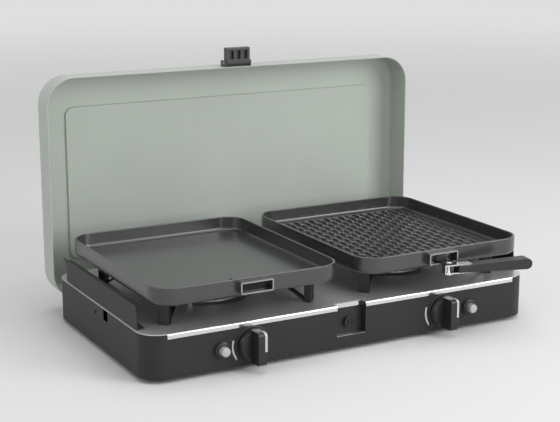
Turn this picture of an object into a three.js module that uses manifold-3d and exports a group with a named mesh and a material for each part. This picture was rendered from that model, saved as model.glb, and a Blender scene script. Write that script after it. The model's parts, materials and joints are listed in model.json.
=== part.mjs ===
// Two-burner camping stove with an upright lid, a flat plate and a ribbed plate.
// Millimetres, +Z up, front towards -Y. Built about the middle of the base with the feet at z = 0,
// then shifted so that the origin is the bottom centre of the whole object.

import * as THREE from 'three';
import { mergeVertices } from 'three/addons/utils/BufferGeometryUtils.js';
import Module from 'manifold-3d';

// ---- driving dimensions -------------------------------------------------------------------------

const gap = 0.3; // between pieces that touch
const runningGap = 0.5; // round a shaft or pin in its hole

// casing
const baseWidth = 560;
const baseDepth = 306;
const casingHeight = 56; // bottom edge of the casing to the top of the hob
const casingCorner = 28;
const casingSheet = 1.2;
const casingFlange = 9; // inward flanges at the top and bottom edges
const footHeight = 5;
const footRadius = 9;
const footNeck = 3;
const footInset = 30; // foot centre from the casing's outer faces
const traySheet = 1;
const trayWall = 8;

// recess for the lid latch
const recessWidth = 42;
const recessDepth = 10;
const recessHeight = 41;
const keeperNeck = 5;
const keeperRadius = 6.5;
const keeperReach = 5;
const keeperDrop = 26; // keeper centre below the top of the hob

// hob
const hobSheet = 1;
const hobLip = 6.5; // height of the bright front lip
const dishRadius = 62;
const dishDepth = 4;
const dishSlope = 10;
const dishHole = 28;

// cooking zones
const zoneInset = 140; // each zone's centre from the casing's side
const zoneY = -18;

// burners
const burnerRadius = 49;
const burnerThroat = 14;
const burnerNeck = 24;
const burnerRise = 3; // top of the burner's skirt above the hob
const burnerDrop = 17; // bottom of the burner below the hob
const capRadius = 36;
const capHeight = 6;
const capStep = 2;
const mixerRadius = 8;
const mixerWall = 1.4;

// controls
const knobZ = 31;
const knobRadius = 21;
const knobSkirt = 8;
const knobReach = 26; // front of the grip from the bezel
const knobGrip = 12;
const bezelRadius = 23;
const bezelSheet = 1.5;
const stemRadius = 4;
const stemReach = 16;
const stemSeat = 12; // depth of the stem in the valve
const valveRadius = 10;
const valveLength = 34;
const jetRadius = 4;
const jetLength = 9;
const igniterOffset = 41; // igniter's axis outwards of the knob's
const igniterZ = 30;
const igniterRadius = 8;
const igniterLength = 38;
const buttonRadius = 6;
const buttonReach = 13; // button face from the casing
const buttonTravel = 4.5;
const collarRadius = 10.5;
const collarReach = 5;
const shankBack = 14; // bottom of the igniter's bore behind the casing's face
const leadRadius = 1.3;
const electrodeRadius = 3;
const electrodeClear = 6; // electrode's axis from the burner's skirt

// gas rail and inlet
const railRadius = 4;
const railZ = 17;
const railInset = 17; // rail axis from the casing's front face
const railSideInset = 16;
const railBend = 20;
const inletY = 86;
const inletReach = 26;
const inletBore = 2.4;
const inletNeck = 6.4;
const inletBlock = 16; // height of the inlet's block
const inletBack = 8; // block's end behind the hose tail's axis
const inletFront = 12; // block's end in front of it
const hoseTail = 4.2;
const hoseBarb = 5.2;

// pan supports
const supportInset = 27; // leg centre from the plate's side
const supportHeight = 32;
const supportBar = 14;
const supportBarHeight = 4;
const supportLeg = 9;
const braceRun = 42;
const hubRadius = 20;

// plates
const plateInset = 14; // plate's side from the casing's side
const plateShort = 10; // plate's depth less than the casing's
const plateHeight = 22.8;
const plateCorner = 31;
const plateWall = 3;
const plateFloor = 4;
const plateFillet = 6;
const plateY = -10;
const drainRadius = 2.5;
const drainInset = 60; // drain hole from the inside of the front wall
const ribPitch = 12.4;
const ribSideGap = 7; // least gap from the outer ribs to the plate's side walls
const ribWidth = 4.5;
const ribCrest = 2;
const ribHeight = 3;
const ribEndGap = 14;
const socketWidth = 44;
const socketHeight = 15;
const socketReach = 9;
const socketWall = 1.8;
const socketDrop = 2.5; // top of the socket below the plate's rim
const handleSocketSide = 10; // ribbed plate's socket to the left of its middle

// plate handle
const tongueWidth = 16;
const tongueSheet = 1.5;
const tonguePivot = 10; // pivot axis in front of the socket
const tongueUpturn = 8;
const handleTurn = THREE.MathUtils.degToRad(-12);
const handleLength = 114;
const clipWidth = 12;
const clipHeight = 12;
const clipSheet = 1.5;
const clipReach = 30;
const clipBack = 7; // back of the clip behind the pivot
const gripStart = 11;
const gripThin = 9;
const gripThick = 14;
const gripDepth = 17;
const handlePinRadius = 2.4;
const handlePinHead = 1.4;

// side shields
const shieldHeight = 29;
const shieldFront = 28; // front end of the shield from the casing's front face
const shieldRear = 38;
const shieldEar = 18;
const shieldInset = 2;
const shieldSheet = 1.2;
const shieldFoot = 11;
const shieldFold = 6;
const shieldNotchY = -28; // square notch in the casing's side under each shield
const shieldNotch = 14;
const shieldHoleY = 6; // round hole behind the notch
const shieldHole = 2.5;
const shieldHoleDrop = 11;

// lid
const lidSheet = 1.2;
const lidSideGap = 1.2; // between the lid's inside and the casing's sides
const lidDepth = 44.4;
const lidEndGap = 1; // shut lid's ends from the casing's front and rear faces
const lidCorner = 39;
const lidFillet = 9;
const lidBottom = 21; // lower edge of the open lid above the ground
const lidRearGap = 1.2; // between the open lid's rim and the casing's rear face
const panelRise = 3;
const panelBevel = 1.5;
const panelSide = 39; // pressed panel from the lid's sides
const panelEnd = 46;
const panelCorner = 12;

// lid hinges
const hingeInset = 90; // hinge's middle from the casing's side
const hingePin = 3;
const armSheet = 3;
const armEye = 7;
const armBar = 10;
const armFoot = 26;
const armFootSheet = 1.5;
const bracketSheet = 2;
const slotWidth = 14;

// lid latch
const latchWidth = 36;
const latchLength = 26;
const latchThick = 10;
const latchSlots = 3;
const latchSlot = 6.5;
const latchSlotDepth = 5;
const latchEdge = 4;
const latchPin = 1.5;
const latchFromRim = 6;
const latchClear = 0.6;
const latchEar = 2;

// ---- levels and places worked out from them -----------------------------------------------------

const zoneX = baseWidth / 2 - zoneInset;
const igniterX = zoneX + igniterOffset;
const hingeX = baseWidth / 2 - hingeInset;
const plateWidth = 2 * (zoneInset - plateInset);
const plateDepth = baseDepth - plateShort;
const supportReach = plateWidth / 2 - supportInset; // leg from the zone's centre, along X and Y
const lidHeight = baseDepth - 2 * lidEndGap;

const casingBottom = footHeight;
const hobTop = casingBottom + casingHeight;
const hobUnder = hobTop - hobSheet;
const casingTop = hobUnder - gap;
const frontFace = -baseDepth / 2;
const rearFace = baseDepth / 2;
const frontInside = frontFace + casingSheet;
const trayBottom = casingBottom + casingSheet + gap;
const trayTop = trayBottom + traySheet;
const recessFloor = hobTop - recessHeight;
const keeperZ = hobTop - keeperDrop;
const supportFoot = hobTop + gap;
const supportTop = supportFoot + supportHeight;
const plateBottom = supportTop + gap;
const plateRim = plateBottom + plateHeight;
const plateFront = plateY - plateDepth / 2;
const socketTop = plateRim - socketDrop;
const socketFloor = socketTop - socketHeight + socketWall;
const lidWidth = baseWidth + 2 * (lidSideGap + lidSheet);
const lidRim = rearFace + lidRearGap;
const lidTop = lidBottom + lidHeight;

// the hinge axis is the point about which the open lid turns a quarter onto the base
const shutRear = lidHeight / 2;
const shutRim = hobTop + gap;
const hingeY = (shutRear + lidBottom + lidRim - shutRim) / 2;
const hingeZ = shutRear + lidBottom - hingeY;

// ---- finishes -----------------------------------------------------------------------------------

const finishes = {
  charcoalPaint: { color: 0x343537, roughness: 0.55, metalness: 0.1 },
  sagePaint: { color: 0xa0a8a0, roughness: 0.45, metalness: 0.1 },
  blackPaint: { color: 0x2b2b2d, roughness: 0.6, metalness: 0.1 },
  stainless: { color: 0xb9bbbd, roughness: 0.28, metalness: 1 },
  galvanised: { color: 0x9da1a4, roughness: 0.5, metalness: 0.9 },
  nonStick: { color: 0x3c3c3e, roughness: 0.42, metalness: 0.2 },
  aluminium: { color: 0xc4c6c8, roughness: 0.3, metalness: 1 },
  blackPlastic: { color: 0x1a1a1b, roughness: 0.4, metalness: 0 },
  greyPlastic: { color: 0xb5b7b8, roughness: 0.35, metalness: 0 },
  rubber: { color: 0x161616, roughness: 0.85, metalness: 0 },
  brass: { color: 0xb49a5c, roughness: 0.35, metalness: 1 },
  ceramic: { color: 0xe4e1d8, roughness: 0.4, metalness: 0 },
};

// ---- solids -------------------------------------------------------------------------------------

const wasm = await Module();
wasm.setup();

function toSolid(geometry) {
  const plain = geometry.clone();
  plain.deleteAttribute('normal');
  plain.deleteAttribute('uv');
  const welded = mergeVertices(plain, 1e-4);
  const mesh = new wasm.Mesh({
    numProp: 3,
    vertProperties: new Float32Array(welded.attributes.position.array),
    triVerts: new Uint32Array(welded.index.array),
  });
  return new wasm.Manifold(mesh);
}

function toGeometry(solid) {
  const mesh = solid.getMesh();
  const geometry = new THREE.BufferGeometry();
  geometry.setAttribute('position', new THREE.BufferAttribute(mesh.vertProperties, 3));
  geometry.setIndex(new THREE.BufferAttribute(mesh.triVerts, 1));
  geometry.computeVertexNormals();
  return geometry;
}

function join(...geometries) {
  return toGeometry(geometries.map(toSolid).reduce((whole, next) => whole.add(next)));
}

function cut(geometry, ...tools) {
  return toGeometry(tools.map(toSolid).reduce((left, tool) => left.subtract(tool), toSolid(geometry)));
}

function common(first, second) {
  return toGeometry(toSolid(first).intersect(toSolid(second)));
}

// box between two corners
function block([x0, x1], [y0, y1], [z0, z1]) {
  const box = new THREE.BoxGeometry(x1 - x0, y1 - y0, z1 - z0);
  return box.translate((x0 + x1) / 2, (y0 + y1) / 2, (z0 + z1) / 2);
}

function roundedRect(width, height, radius) {
  const w = width / 2;
  const h = height / 2;
  const shape = new THREE.Shape();
  shape.absarc(w - radius, h - radius, radius, 0, Math.PI / 2);
  shape.absarc(radius - w, h - radius, radius, Math.PI / 2, Math.PI);
  shape.absarc(radius - w, radius - h, radius, Math.PI, Math.PI * 1.5);
  shape.absarc(w - radius, radius - h, radius, Math.PI * 1.5, Math.PI * 2);
  shape.closePath();
  return shape;
}

function prism(shape, z0, z1, curveSegments = 4) {
  const solid = new THREE.ExtrudeGeometry(shape, { depth: z1 - z0, bevelEnabled: false, curveSegments });
  return solid.translate(0, 0, z0);
}

// rounded block with its lower edge filleted, from z = 0 up
function filletedBlock(width, height, corner, fillet, depth) {
  const shape = roundedRect(width - 2 * fillet, height - 2 * fillet, corner - fillet);
  const solid = new THREE.ExtrudeGeometry(shape, {
    depth,
    bevelThickness: fillet,
    bevelSize: fillet,
    bevelSegments: 2,
    curveSegments: 3,
  });
  return solid.translate(0, 0, fillet);
}

// open tray with its floor at z = 0 and its rim at z = depth
function tray(width, height, corner, fillet, depth, wall, floor) {
  const outside = filletedBlock(width, height, corner, fillet, depth);
  const insideFillet = Math.max(fillet - wall, 1);
  const inside = filletedBlock(width - 2 * wall, height - 2 * wall, corner - wall, insideFillet, depth);
  const above = block([-width, width], [-height, height], [depth, 3 * depth]);
  return cut(outside, inside.translate(0, 0, floor), above);
}

// solid of revolution about Z from [radius, z] pairs, closed on the axis or on itself
function turned(profile, segments = 24) {
  const points = profile.map(([radius, z]) => new THREE.Vector2(radius, z));
  return new THREE.LatheGeometry(points, segments).rotateX(Math.PI / 2);
}

// round bar along +Z from z0 to z1
function rod(radius, z0, z1, segments = 16) {
  return turned([[0, z0], [radius, z0], [radius, z1], [0, z1]], segments);
}

function ring(inner, outer, z0, z1, segments = 24) {
  return turned([[inner, z0], [outer, z0], [outer, z1], [inner, z1], [inner, z0]], segments);
}

// the same piece with its axis pointing out of the front face, its z = 0 on that face
const outOfFront = (geometry, x, z) => geometry.rotateX(Math.PI / 2).translate(x, frontFace, z);

const alongX = (geometry, x, y, z) => geometry.rotateY(Math.PI / 2).translate(x, y, z);

// pipe with twice as many sides as curveSegments says
function pipe(path, radius, wall, steps, curveSegments = 5) {
  const section = new THREE.Shape();
  section.absarc(0, 0, radius, 0, Math.PI * 2);
  if (wall) section.holes.push(new THREE.Path().absarc(0, 0, radius - wall, 0, Math.PI * 2, true));
  const options = { extrudePath: path, steps, bevelEnabled: false, curveSegments };
  return new THREE.ExtrudeGeometry(section, options);
}

// straight runs between points with each corner rounded
function bentPath(points, bend) {
  const path = new THREE.CurvePath();
  let from = points[0];
  for (let i = 1; i < points.length - 1; i += 1) {
    const corner = points[i];
    const back = points[i - 1].clone().sub(corner).setLength(bend).add(corner);
    const on = points[i + 1].clone().sub(corner).setLength(bend).add(corner);
    path.add(new THREE.LineCurve3(from, back));
    path.add(new THREE.QuadraticBezierCurve3(back, corner, on));
    from = on;
  }
  path.add(new THREE.LineCurve3(from, points[points.length - 1]));
  return path;
}

function piece(name, geometry, finish) {
  const mesh = new THREE.Mesh(geometry, new THREE.MeshStandardMaterial(finish));
  mesh.name = name;
  return mesh;
}

const sides = [['left', -1], ['right', 1]];

// ---- base ---------------------------------------------------------------------------------------

const baseOutline = (inset) =>
  roundedRect(baseWidth - 2 * inset, baseDepth - 2 * inset, Math.max(casingCorner - inset, 4));

function hingeSlot(side, z0) {
  const x = side * hingeX;
  const front = hingeY - armEye - 1;
  return block([x - slotWidth / 2, x + slotWidth / 2], [front, rearFace + 5], [z0, hobTop + 5]);
}

function makeCasing() {
  const wall = cut(
    prism(baseOutline(0), casingBottom, casingTop),
    prism(baseOutline(casingSheet), casingBottom + casingSheet, casingTop - casingSheet),
    prism(baseOutline(casingFlange), casingBottom - 1, casingTop + 1),
  );
  const half = recessWidth / 2;
  const back = frontFace + recessDepth;
  const pocket = cut(
    block([-half - casingSheet, half + casingSheet], [frontFace + gap, back + casingSheet],
      [recessFloor - casingSheet, casingTop]),
    block([-half, half], [frontFace - 1, back], [recessFloor, casingTop + 1]),
  );
  const window = block([-half, half], [frontFace - 1, back], [recessFloor, casingTop + 1]);
  const holes = sides.flatMap(([, side]) => [
    outOfFront(rod(stemRadius + 2 * runningGap, -5, 5), side * zoneX, knobZ),
    outOfFront(rod(buttonRadius + 2 * runningGap, -5, 5), side * igniterX, igniterZ),
    hingeSlot(side, hingeZ - armBar),
    ...sideHoles(side * baseWidth / 2),
  ]);
  const inletHole = alongX(rod(inletNeck + runningGap, -10, 10), baseWidth / 2, inletY, railZ);
  return cut(join(cut(wall, window), pocket), ...holes, inletHole);
}

// square notch and round hole in a side wall, under the shield
function sideHoles(x) {
  const notch = block([x - 3, x + 3], [shieldNotchY - shieldNotch / 2, shieldNotchY + shieldNotch / 2],
    [casingTop - shieldNotch, casingTop + 1]);
  const hole = alongX(rod(shieldHole, -4, 4, 12), x, shieldHoleY, casingTop - shieldHoleDrop);
  return [notch, hole];
}

function makeTray() {
  const inset = casingSheet + gap;
  const floor = prism(baseOutline(inset), trayBottom, trayBottom + trayWall);
  const hollow = prism(baseOutline(inset + traySheet), trayTop, trayBottom + trayWall + 1);
  const feet = footPlaces().map(([, x, y]) =>
    rod(footNeck + gap, casingBottom, trayTop + 1, 16).translate(x, y, 0));
  // the gas inlet's block stands through the upturned edge
  const inletNotch = block([railX - inletBack, baseWidth / 2],
    [inletY - inletFront - 1, inletY + inletBack + 1], [trayTop, hobTop]);
  return cut(floor, hollow, inletNotch, ...feet);
}

function footPlaces() {
  const x = baseWidth / 2 - footInset;
  const y = baseDepth / 2 - footInset;
  return [['front_left', -x, -y], ['front_right', x, -y], ['rear_left', -x, y], ['rear_right', x, y]];
}

function makeFoot() {
  const neckTop = trayTop + gap;
  return turned([
    [0, 0], [footRadius - 1.2, 0], [footRadius, 1.2], [footRadius, trayBottom - gap],
    [footNeck, trayBottom - gap], [footNeck, neckTop], [footNeck + 1.6, neckTop],
    [footNeck - 0.6, neckTop + 3.5], [0, neckTop + 3.5],
  ], 14);
}

function makeHob() {
  const half = recessWidth / 2;
  const lipHalf = baseWidth / 2 - casingCorner;
  const lipOuter = frontFace - hobSheet - gap;
  const recessLip = frontFace + recessDepth - hobSheet - gap;
  const lip = join(
    block([-lipHalf, lipHalf], [lipOuter, frontFace + 2], [hobUnder, hobTop]),
    block([-lipHalf, lipHalf], [lipOuter, lipOuter + hobSheet], [hobTop - hobLip, hobTop]),
  );
  const notch = block([-half, half], [lipOuter - 1, recessLip], [hobTop - 2 * hobLip, hobTop + 1]);
  const backLip = block([-half + gap, half - gap], [recessLip, recessLip + hobSheet],
    [hobTop - hobLip, hobTop]);
  const sheet = cut(
    join(prism(baseOutline(0), hobUnder, hobTop), lip),
    notch,
    ...sides.map(([, side]) => hingeSlot(side, hobUnder - 1)),
    ...sides.map(([, side]) => rod(dishRadius, hobUnder - 1, hobTop + 1, 30)
      .translate(side * zoneX, zoneY, 0)),
  );
  const dishes = sides.map(([, side]) => makeDish().translate(side * zoneX, zoneY, 0));
  return cut(join(sheet, backLip, ...dishes), ...sides.map(([, side]) => electrodeHole(side)));
}

// pressed dish round a burner, with the hole that the burner's neck drops through
function makeDish() {
  const low = hobTop - dishDepth;
  return turned([
    [dishHole, low - hobSheet], [dishRadius - dishSlope, low - hobSheet], [dishRadius, hobUnder],
    [dishRadius + 2, hobUnder], [dishRadius + 2, hobTop], [dishRadius - 1, hobTop],
    [dishRadius - dishSlope - 1, low], [dishHole, low], [dishHole, low - hobSheet],
  ], 30);
}

// ---- burners ------------------------------------------------------------------------------------

const burnerBottom = hobTop - burnerDrop;
const skirtTop = hobTop + burnerRise;
const capBottom = skirtTop + capStep;

function makeBurnerBody() {
  const neckLow = hobTop - dishDepth - hobSheet - gap;
  const neckHigh = hobTop - dishDepth + gap;
  return turned([
    [0, burnerBottom], [burnerThroat, burnerBottom], [burnerNeck, neckLow], [burnerNeck, neckHigh],
    [burnerRadius, skirtTop - 2.5], [burnerRadius, skirtTop - 0.8], [burnerRadius - 1.5, skirtTop],
    [capRadius - 1, capBottom - gap], [0, capBottom - gap],
  ], 28);
}

function makeBurnerCap() {
  return turned([
    [0, capBottom], [capRadius - 2, capBottom], [capRadius, capBottom + 1.2],
    [capRadius, capBottom + capHeight - 2], [capRadius - 4, capBottom + capHeight - 0.6],
    [capRadius * 0.6, capBottom + capHeight], [0, capBottom + capHeight],
  ], 28);
}

const valveBack = frontInside + gap + valveLength;
const mixerFront = valveBack + jetLength + 3;

function makeMixer() {
  const points = [
    new THREE.Vector3(0, mixerFront, knobZ),
    new THREE.Vector3(0, zoneY, knobZ),
    new THREE.Vector3(0, zoneY, burnerBottom - gap),
  ];
  return pipe(bentPath(points, 11), mixerRadius, mixerWall, 12, 4);
}

// ---- gas rail, valves and igniters --------------------------------------------------------------

const railY = frontFace + railInset;
const railX = baseWidth / 2 - railSideInset;
const inletFace = baseWidth / 2 - casingSheet - gap;

function makeRail() {
  const points = [
    new THREE.Vector3(-zoneX - valveRadius - 6, railY, railZ),
    new THREE.Vector3(railX, railY, railZ),
    new THREE.Vector3(railX, inletY - inletFront, railZ),
  ];
  return pipe(bentPath(points, railBend), railRadius, 0, 30, 4);
}

// elbow block inside the wall with a barbed hose tail outside it
function makeInlet() {
  const outer = baseWidth / 2 + inletReach;
  const collar = baseWidth / 2 + 3;
  const barbPitch = 4.5;
  const barbs = [3, 2, 1, 0].map((n) => outer - 1 - n * barbPitch)
    .flatMap((end) => [[hoseBarb, end - 3.2], [hoseTail, end]]);
  const tail = turned([
    [0, inletFace - 2], [inletNeck, inletFace - 2], [inletNeck, collar], [hoseTail, collar],
    ...barbs, [0, outer],
  ], 12);
  const body = block([railX - inletBack + 1, inletFace], [inletY - inletFront + gap, inletY + inletBack],
    [railZ - inletBlock / 2, railZ + inletBlock / 2]);
  const bore = rod(inletBore, outer - inletReach - 4, outer + 1, 12);
  return cut(join(body, alongX(tail, 0, inletY, railZ)), alongX(bore, 0, inletY, railZ));
}

// brass valve: round body with a saddle over the rail, bored for its stem
function makeValve(side) {
  const x = side * zoneX;
  const front = casingSheet + gap;
  const half = valveRadius - 2;
  const body = outOfFront(rod(valveRadius, -front - valveLength, -front), x, knobZ);
  const saddle = block([x - half, x + half], [railY - half + 1, railY + half - 1], [railZ - 1, knobZ]);
  const rail = alongX(rod(railRadius + gap, -20, 20), x, railY, railZ);
  const bore = outOfFront(rod(stemRadius + gap, -front - stemSeat, 1), x, knobZ);
  return cut(join(body, saddle), rail, bore);
}

// stem from the valve's bore through the casing into the knob
function makeStem() {
  return rod(stemRadius, gap - casingSheet - gap - stemSeat, bezelSheet + stemReach);
}

function makeJet() {
  const profile = [[0, 0], [jetRadius, 0], [jetRadius, jetLength - 3], [2, jetLength], [0, jetLength]];
  return turned(profile, 16).rotateX(-Math.PI / 2);
}

// piezo unit behind the front wall, open at the front for the button's shank
function makeIgniter() {
  const back = -casingSheet - gap - igniterLength;
  const bore = buttonRadius + runningGap;
  return turned([
    [0, back], [igniterRadius - 3, back], [igniterRadius - 3, back + 8], [igniterRadius, back + 10],
    [igniterRadius, -casingSheet - gap], [bore, -casingSheet - gap], [bore, -shankBack], [0, -shankBack],
  ], 24);
}

function makeCollar() {
  return turned([
    [buttonRadius + runningGap, gap], [collarRadius, gap], [collarRadius, collarReach - 1.5],
    [collarRadius - 1.5, collarReach], [buttonRadius + runningGap, collarReach],
    [buttonRadius + runningGap, gap],
  ], 28);
}

function makeButton() {
  const inner = buttonTravel + gap - shankBack;
  return turned([
    [0, inner], [buttonRadius, inner],
    [buttonRadius, buttonReach - 1], [buttonRadius - 1, buttonReach], [0, buttonReach],
  ], 24);
}

// electrodes stand in front of the burners, on the outer side
const electrodeOffset = (burnerRadius + electrodeClear) * Math.SQRT1_2;
const electrodeX = zoneX + electrodeOffset;
const electrodeY = zoneY - electrodeOffset;

function electrodeHole(side) {
  return rod(electrodeRadius + gap, hobTop - 9, hobTop + 4, 12).translate(side * electrodeX, electrodeY, 0);
}

// ceramic rod through the dish, with its flange under it and a wire tip over the burner's skirt
function makeElectrode(side) {
  const under = hobTop - dishDepth - hobSheet - gap;
  const flange = electrodeRadius + 1.6;
  const ceramic = turned([
    [0, under - 14], [electrodeRadius, under - 14], [electrodeRadius, under - 4], [flange, under - 4],
    [flange, under - 1.5], [electrodeRadius, under - 1.5], [electrodeRadius, hobTop + 6],
    [1.2, hobTop + 8], [0, hobTop + 8],
  ], 16);
  const inward = side > 0 ? 3 : 1;
  const tip = rod(0.9, -1, electrodeClear + 4, 8).rotateY(Math.PI / 2).rotateZ((inward * Math.PI) / 4);
  return join(ceramic, tip.translate(0, 0, hobTop + 7));
}

function makeLead(side) {
  const back = frontFace + casingSheet + gap + igniterLength;
  const path = new THREE.CatmullRomCurve3([
    new THREE.Vector3(side * igniterX, back + 1, igniterZ),
    new THREE.Vector3(side * igniterX, back + 12, igniterZ - 3),
    new THREE.Vector3(side * electrodeX, electrodeY - 4, igniterZ - 2),
    new THREE.Vector3(side * electrodeX, electrodeY, hobTop - dishDepth - hobSheet - 15),
  ]);
  return pipe(path, leadRadius, 0, 10, 3);
}

// ---- knobs --------------------------------------------------------------------------------------

function makeBezel() {
  return ring(stemRadius + 2, bezelRadius, gap, bezelSheet, 32);
}

// round skirt with an upright grip bar, bored for the valve stem
function makeKnob() {
  const back = bezelSheet + gap;
  const front = bezelSheet + knobReach;
  const skirt = turned([
    [0, back], [knobRadius, back], [knobRadius, back + 3], [knobRadius - 2.5, back + knobSkirt],
    [0, back + knobSkirt],
  ], 32);
  const bar = common(
    block([-knobGrip / 2, knobGrip / 2], [-knobRadius, knobRadius], [back + 1, front]),
    turned([[0, back], [knobRadius, back], [knobRadius, front - 5], [knobRadius - 4, front], [0, front]], 32),
  );
  return cut(join(skirt, bar), rod(stemRadius + gap, back - 1, bezelSheet + stemReach + gap));
}

// ---- pan supports -------------------------------------------------------------------------------

// cross of four arms, each with a leg at its end and a sloping brace from the leg's foot
function makeSupport() {
  const reach = supportReach * Math.SQRT2;
  const half = supportBar / 2;
  const barBottom = supportTop - supportBarHeight;
  const braceAngle = Math.atan2(supportHeight - supportBarHeight, braceRun);
  const braceLength = Math.hypot(supportHeight - supportBarHeight, braceRun);
  const brace = block([-braceLength / 2, braceLength / 2], [-half + 2, half - 2], [-1.2, 1.2])
    .rotateY(braceAngle)
    .translate(reach - supportLeg / 2 - braceRun / 2, 0, (supportFoot + barBottom) / 2 + 1);
  const arm = join(
    block([hubRadius - 4, reach + supportLeg / 2], [-half, half], [barBottom, supportTop]),
    block([reach - supportLeg / 2, reach + supportLeg / 2], [-half, half], [supportFoot, supportTop]),
    brace,
  );
  const arms = [1, 3, 5, 7].map((turn) => arm.clone().rotateZ((turn * Math.PI) / 4));
  return join(ring(hubRadius - 6, hubRadius, barBottom, supportTop, 20), ...arms);
}

// ---- plates and handle --------------------------------------------------------------------------

// pan with its hollow handle socket, which stands socketSide to the left of its middle
function makePlate(socketSide) {
  const shell = tray(plateWidth, plateDepth, plateCorner, plateFillet, plateHeight, plateWall, plateFloor)
    .translate(0, plateY, plateBottom);
  const half = socketWidth / 2;
  const front = plateFront - socketReach;
  const socket = cut(
    block([-half, half], [front, plateFront + 1], [socketTop - socketHeight, socketTop]),
    block([-half + socketWall, half - socketWall], [front - 1, plateFront],
      [socketFloor, socketTop - socketWall]),
  );
  return join(shell, socket.translate(-socketSide, 0, 0));
}

function makeFlatPlate() {
  const drain = rod(drainRadius, plateBottom - 1, plateRim, 16)
    .translate(0, plateFront + plateWall + drainInset, 0);
  return cut(makePlate(0), drain);
}

function makeRibbedPlate() {
  const floorTop = plateBottom + plateFloor;
  const halfLength = plateDepth / 2 - plateWall - ribEndGap;
  const ribCount = Math.floor((plateWidth - 2 * (plateWall + ribSideGap) - ribWidth) / ribPitch) + 1;
  const rib = new THREE.Shape();
  rib.moveTo(-ribWidth / 2, -1);
  rib.lineTo(ribWidth / 2, -1);
  rib.lineTo(ribCrest / 2, ribHeight);
  rib.lineTo(-ribCrest / 2, ribHeight);
  rib.closePath();
  const ribs = Array.from({ length: ribCount }, (_, n) => {
    const x = (n - (ribCount - 1) / 2) * ribPitch;
    return prism(rib, -halfLength, halfLength).rotateX(Math.PI / 2).translate(x, plateY, floorTop);
  });
  return join(makePlate(handleSocketSide), ...ribs);
}

const handleX = zoneX - handleSocketSide;
const pivotY = plateFront - socketReach - tonguePivot;
const tongueBottom = socketFloor + gap;
const clipTop = tongueBottom - gap;
const clipMiddle = clipTop - clipHeight / 2;

// flat strip that lies in the socket and reaches out over the handle's pivot
function makeTongue() {
  const half = tongueWidth / 2;
  const back = plateFront - gap;
  const top = tongueBottom + tongueSheet;
  const strip = join(
    block([-half, half], [pivotY, back], [tongueBottom, top]),
    rod(half, tongueBottom, top, 32).translate(0, pivotY, 0),
  );
  const bore = rod(handlePinRadius + gap, tongueBottom - 1, top + 1, 20).translate(0, pivotY, 0);
  const upturn = block([-half, half], [back - tongueSheet, back], [tongueBottom, tongueBottom + tongueUpturn]);
  return cut(join(strip, upturn), bore);
}

// rivet through the tongue and both arms of the clip
function makeHandlePin() {
  const low = clipTop - clipHeight - gap;
  const high = tongueBottom + tongueSheet + gap;
  const head = handlePinRadius + 2;
  return turned([
    [0, low - handlePinHead], [head, low - handlePinHead], [head, low], [handlePinRadius, low],
    [handlePinRadius, high], [head, high], [head - 1, high + handlePinHead], [0, high + handlePinHead],
  ], 20);
}

// hairpin strip about the pivot, its arms running into the grip; +X is along the handle
function makeClip() {
  const half = clipHeight / 2;
  const wide = clipWidth / 2;
  return cut(
    block([-clipBack, clipReach], [-wide, wide], [-half, half]),
    block([-clipBack + clipSheet, clipReach + 1], [-wide - 1, wide + 1], [-half + clipSheet, half - clipSheet]),
    rod(handlePinRadius + runningGap, -half - 1, half + 1, 20),
  );
}

// moulded grip between and round the clip's arms, thicker towards its end
function makeGrip() {
  const outline = new THREE.Shape();
  const thin = gripThin / 2;
  const thick = gripThick / 2;
  const end = handleLength - thick;
  outline.moveTo(gripStart, -thin);
  outline.bezierCurveTo(handleLength * 0.5, -thin, handleLength * 0.6, -thick, end, -thick);
  outline.absarc(end, 0, thick, -Math.PI / 2, Math.PI / 2);
  outline.bezierCurveTo(handleLength * 0.6, thick, handleLength * 0.5, thin, gripStart, thin);
  outline.closePath();
  const half = gripDepth / 2;
  const solid = prism(outline, -half, half, 8).rotateX(Math.PI / 2);
  const inner = clipHeight / 2 - clipSheet - gap;
  const wide = clipWidth / 2 + gap;
  const seat = cut(
    block([gripStart - 2, clipReach + gap], [-wide, wide], [-20, 20]),
    block([gripStart - 3, clipReach + 1], [-wide - 1, wide + 1], [-inner, inner]),
  );
  return cut(solid, seat);
}

// ---- side shields -------------------------------------------------------------------------------

// upright sheet with a foot on the hob, a folded top edge and a pointed ear at its rear
function makeShield(side) {
  const low = hobTop + gap;
  const high = low + shieldHeight;
  const front = frontFace + shieldFront;
  const rear = rearFace - shieldRear;
  const outline = new THREE.Shape();
  outline.moveTo(front, low);
  outline.lineTo(rear, low);
  outline.lineTo(rear - 2, high - 8);
  outline.lineTo(rear + shieldEar - 4, high);
  outline.lineTo(front + 3, high);
  outline.closePath();
  const outer = baseWidth / 2 - shieldInset;
  const wall = prism(outline, -shieldSheet / 2, shieldSheet / 2)
    .rotateX(Math.PI / 2)
    .rotateZ(Math.PI / 2)
    .translate(outer - shieldSheet / 2, 0, 0);
  const foot = block([outer - shieldFoot, outer - gap], [front + 2, rear - 2], [low, low + shieldSheet]);
  const fold = block([outer - shieldFold, outer - gap], [front + 8, rear - 4], [high - shieldSheet, high]);
  const solid = join(wall, foot, fold);
  return side > 0 ? solid : mirrored(solid);
}

// mirror in the YZ plane, with the faces turned back to point out
function mirrored(geometry) {
  const copy = geometry.clone().scale(-1, 1, 1);
  const index = copy.index.array;
  for (let i = 0; i < index.length; i += 3) [index[i], index[i + 1]] = [index[i + 1], index[i]];
  copy.computeVertexNormals();
  return copy;
}

// ---- lid, its hinges and its latch --------------------------------------------------------------

// the lid's own middle, as it stands open
const lidMiddle = lidBottom + lidHeight / 2;

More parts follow.
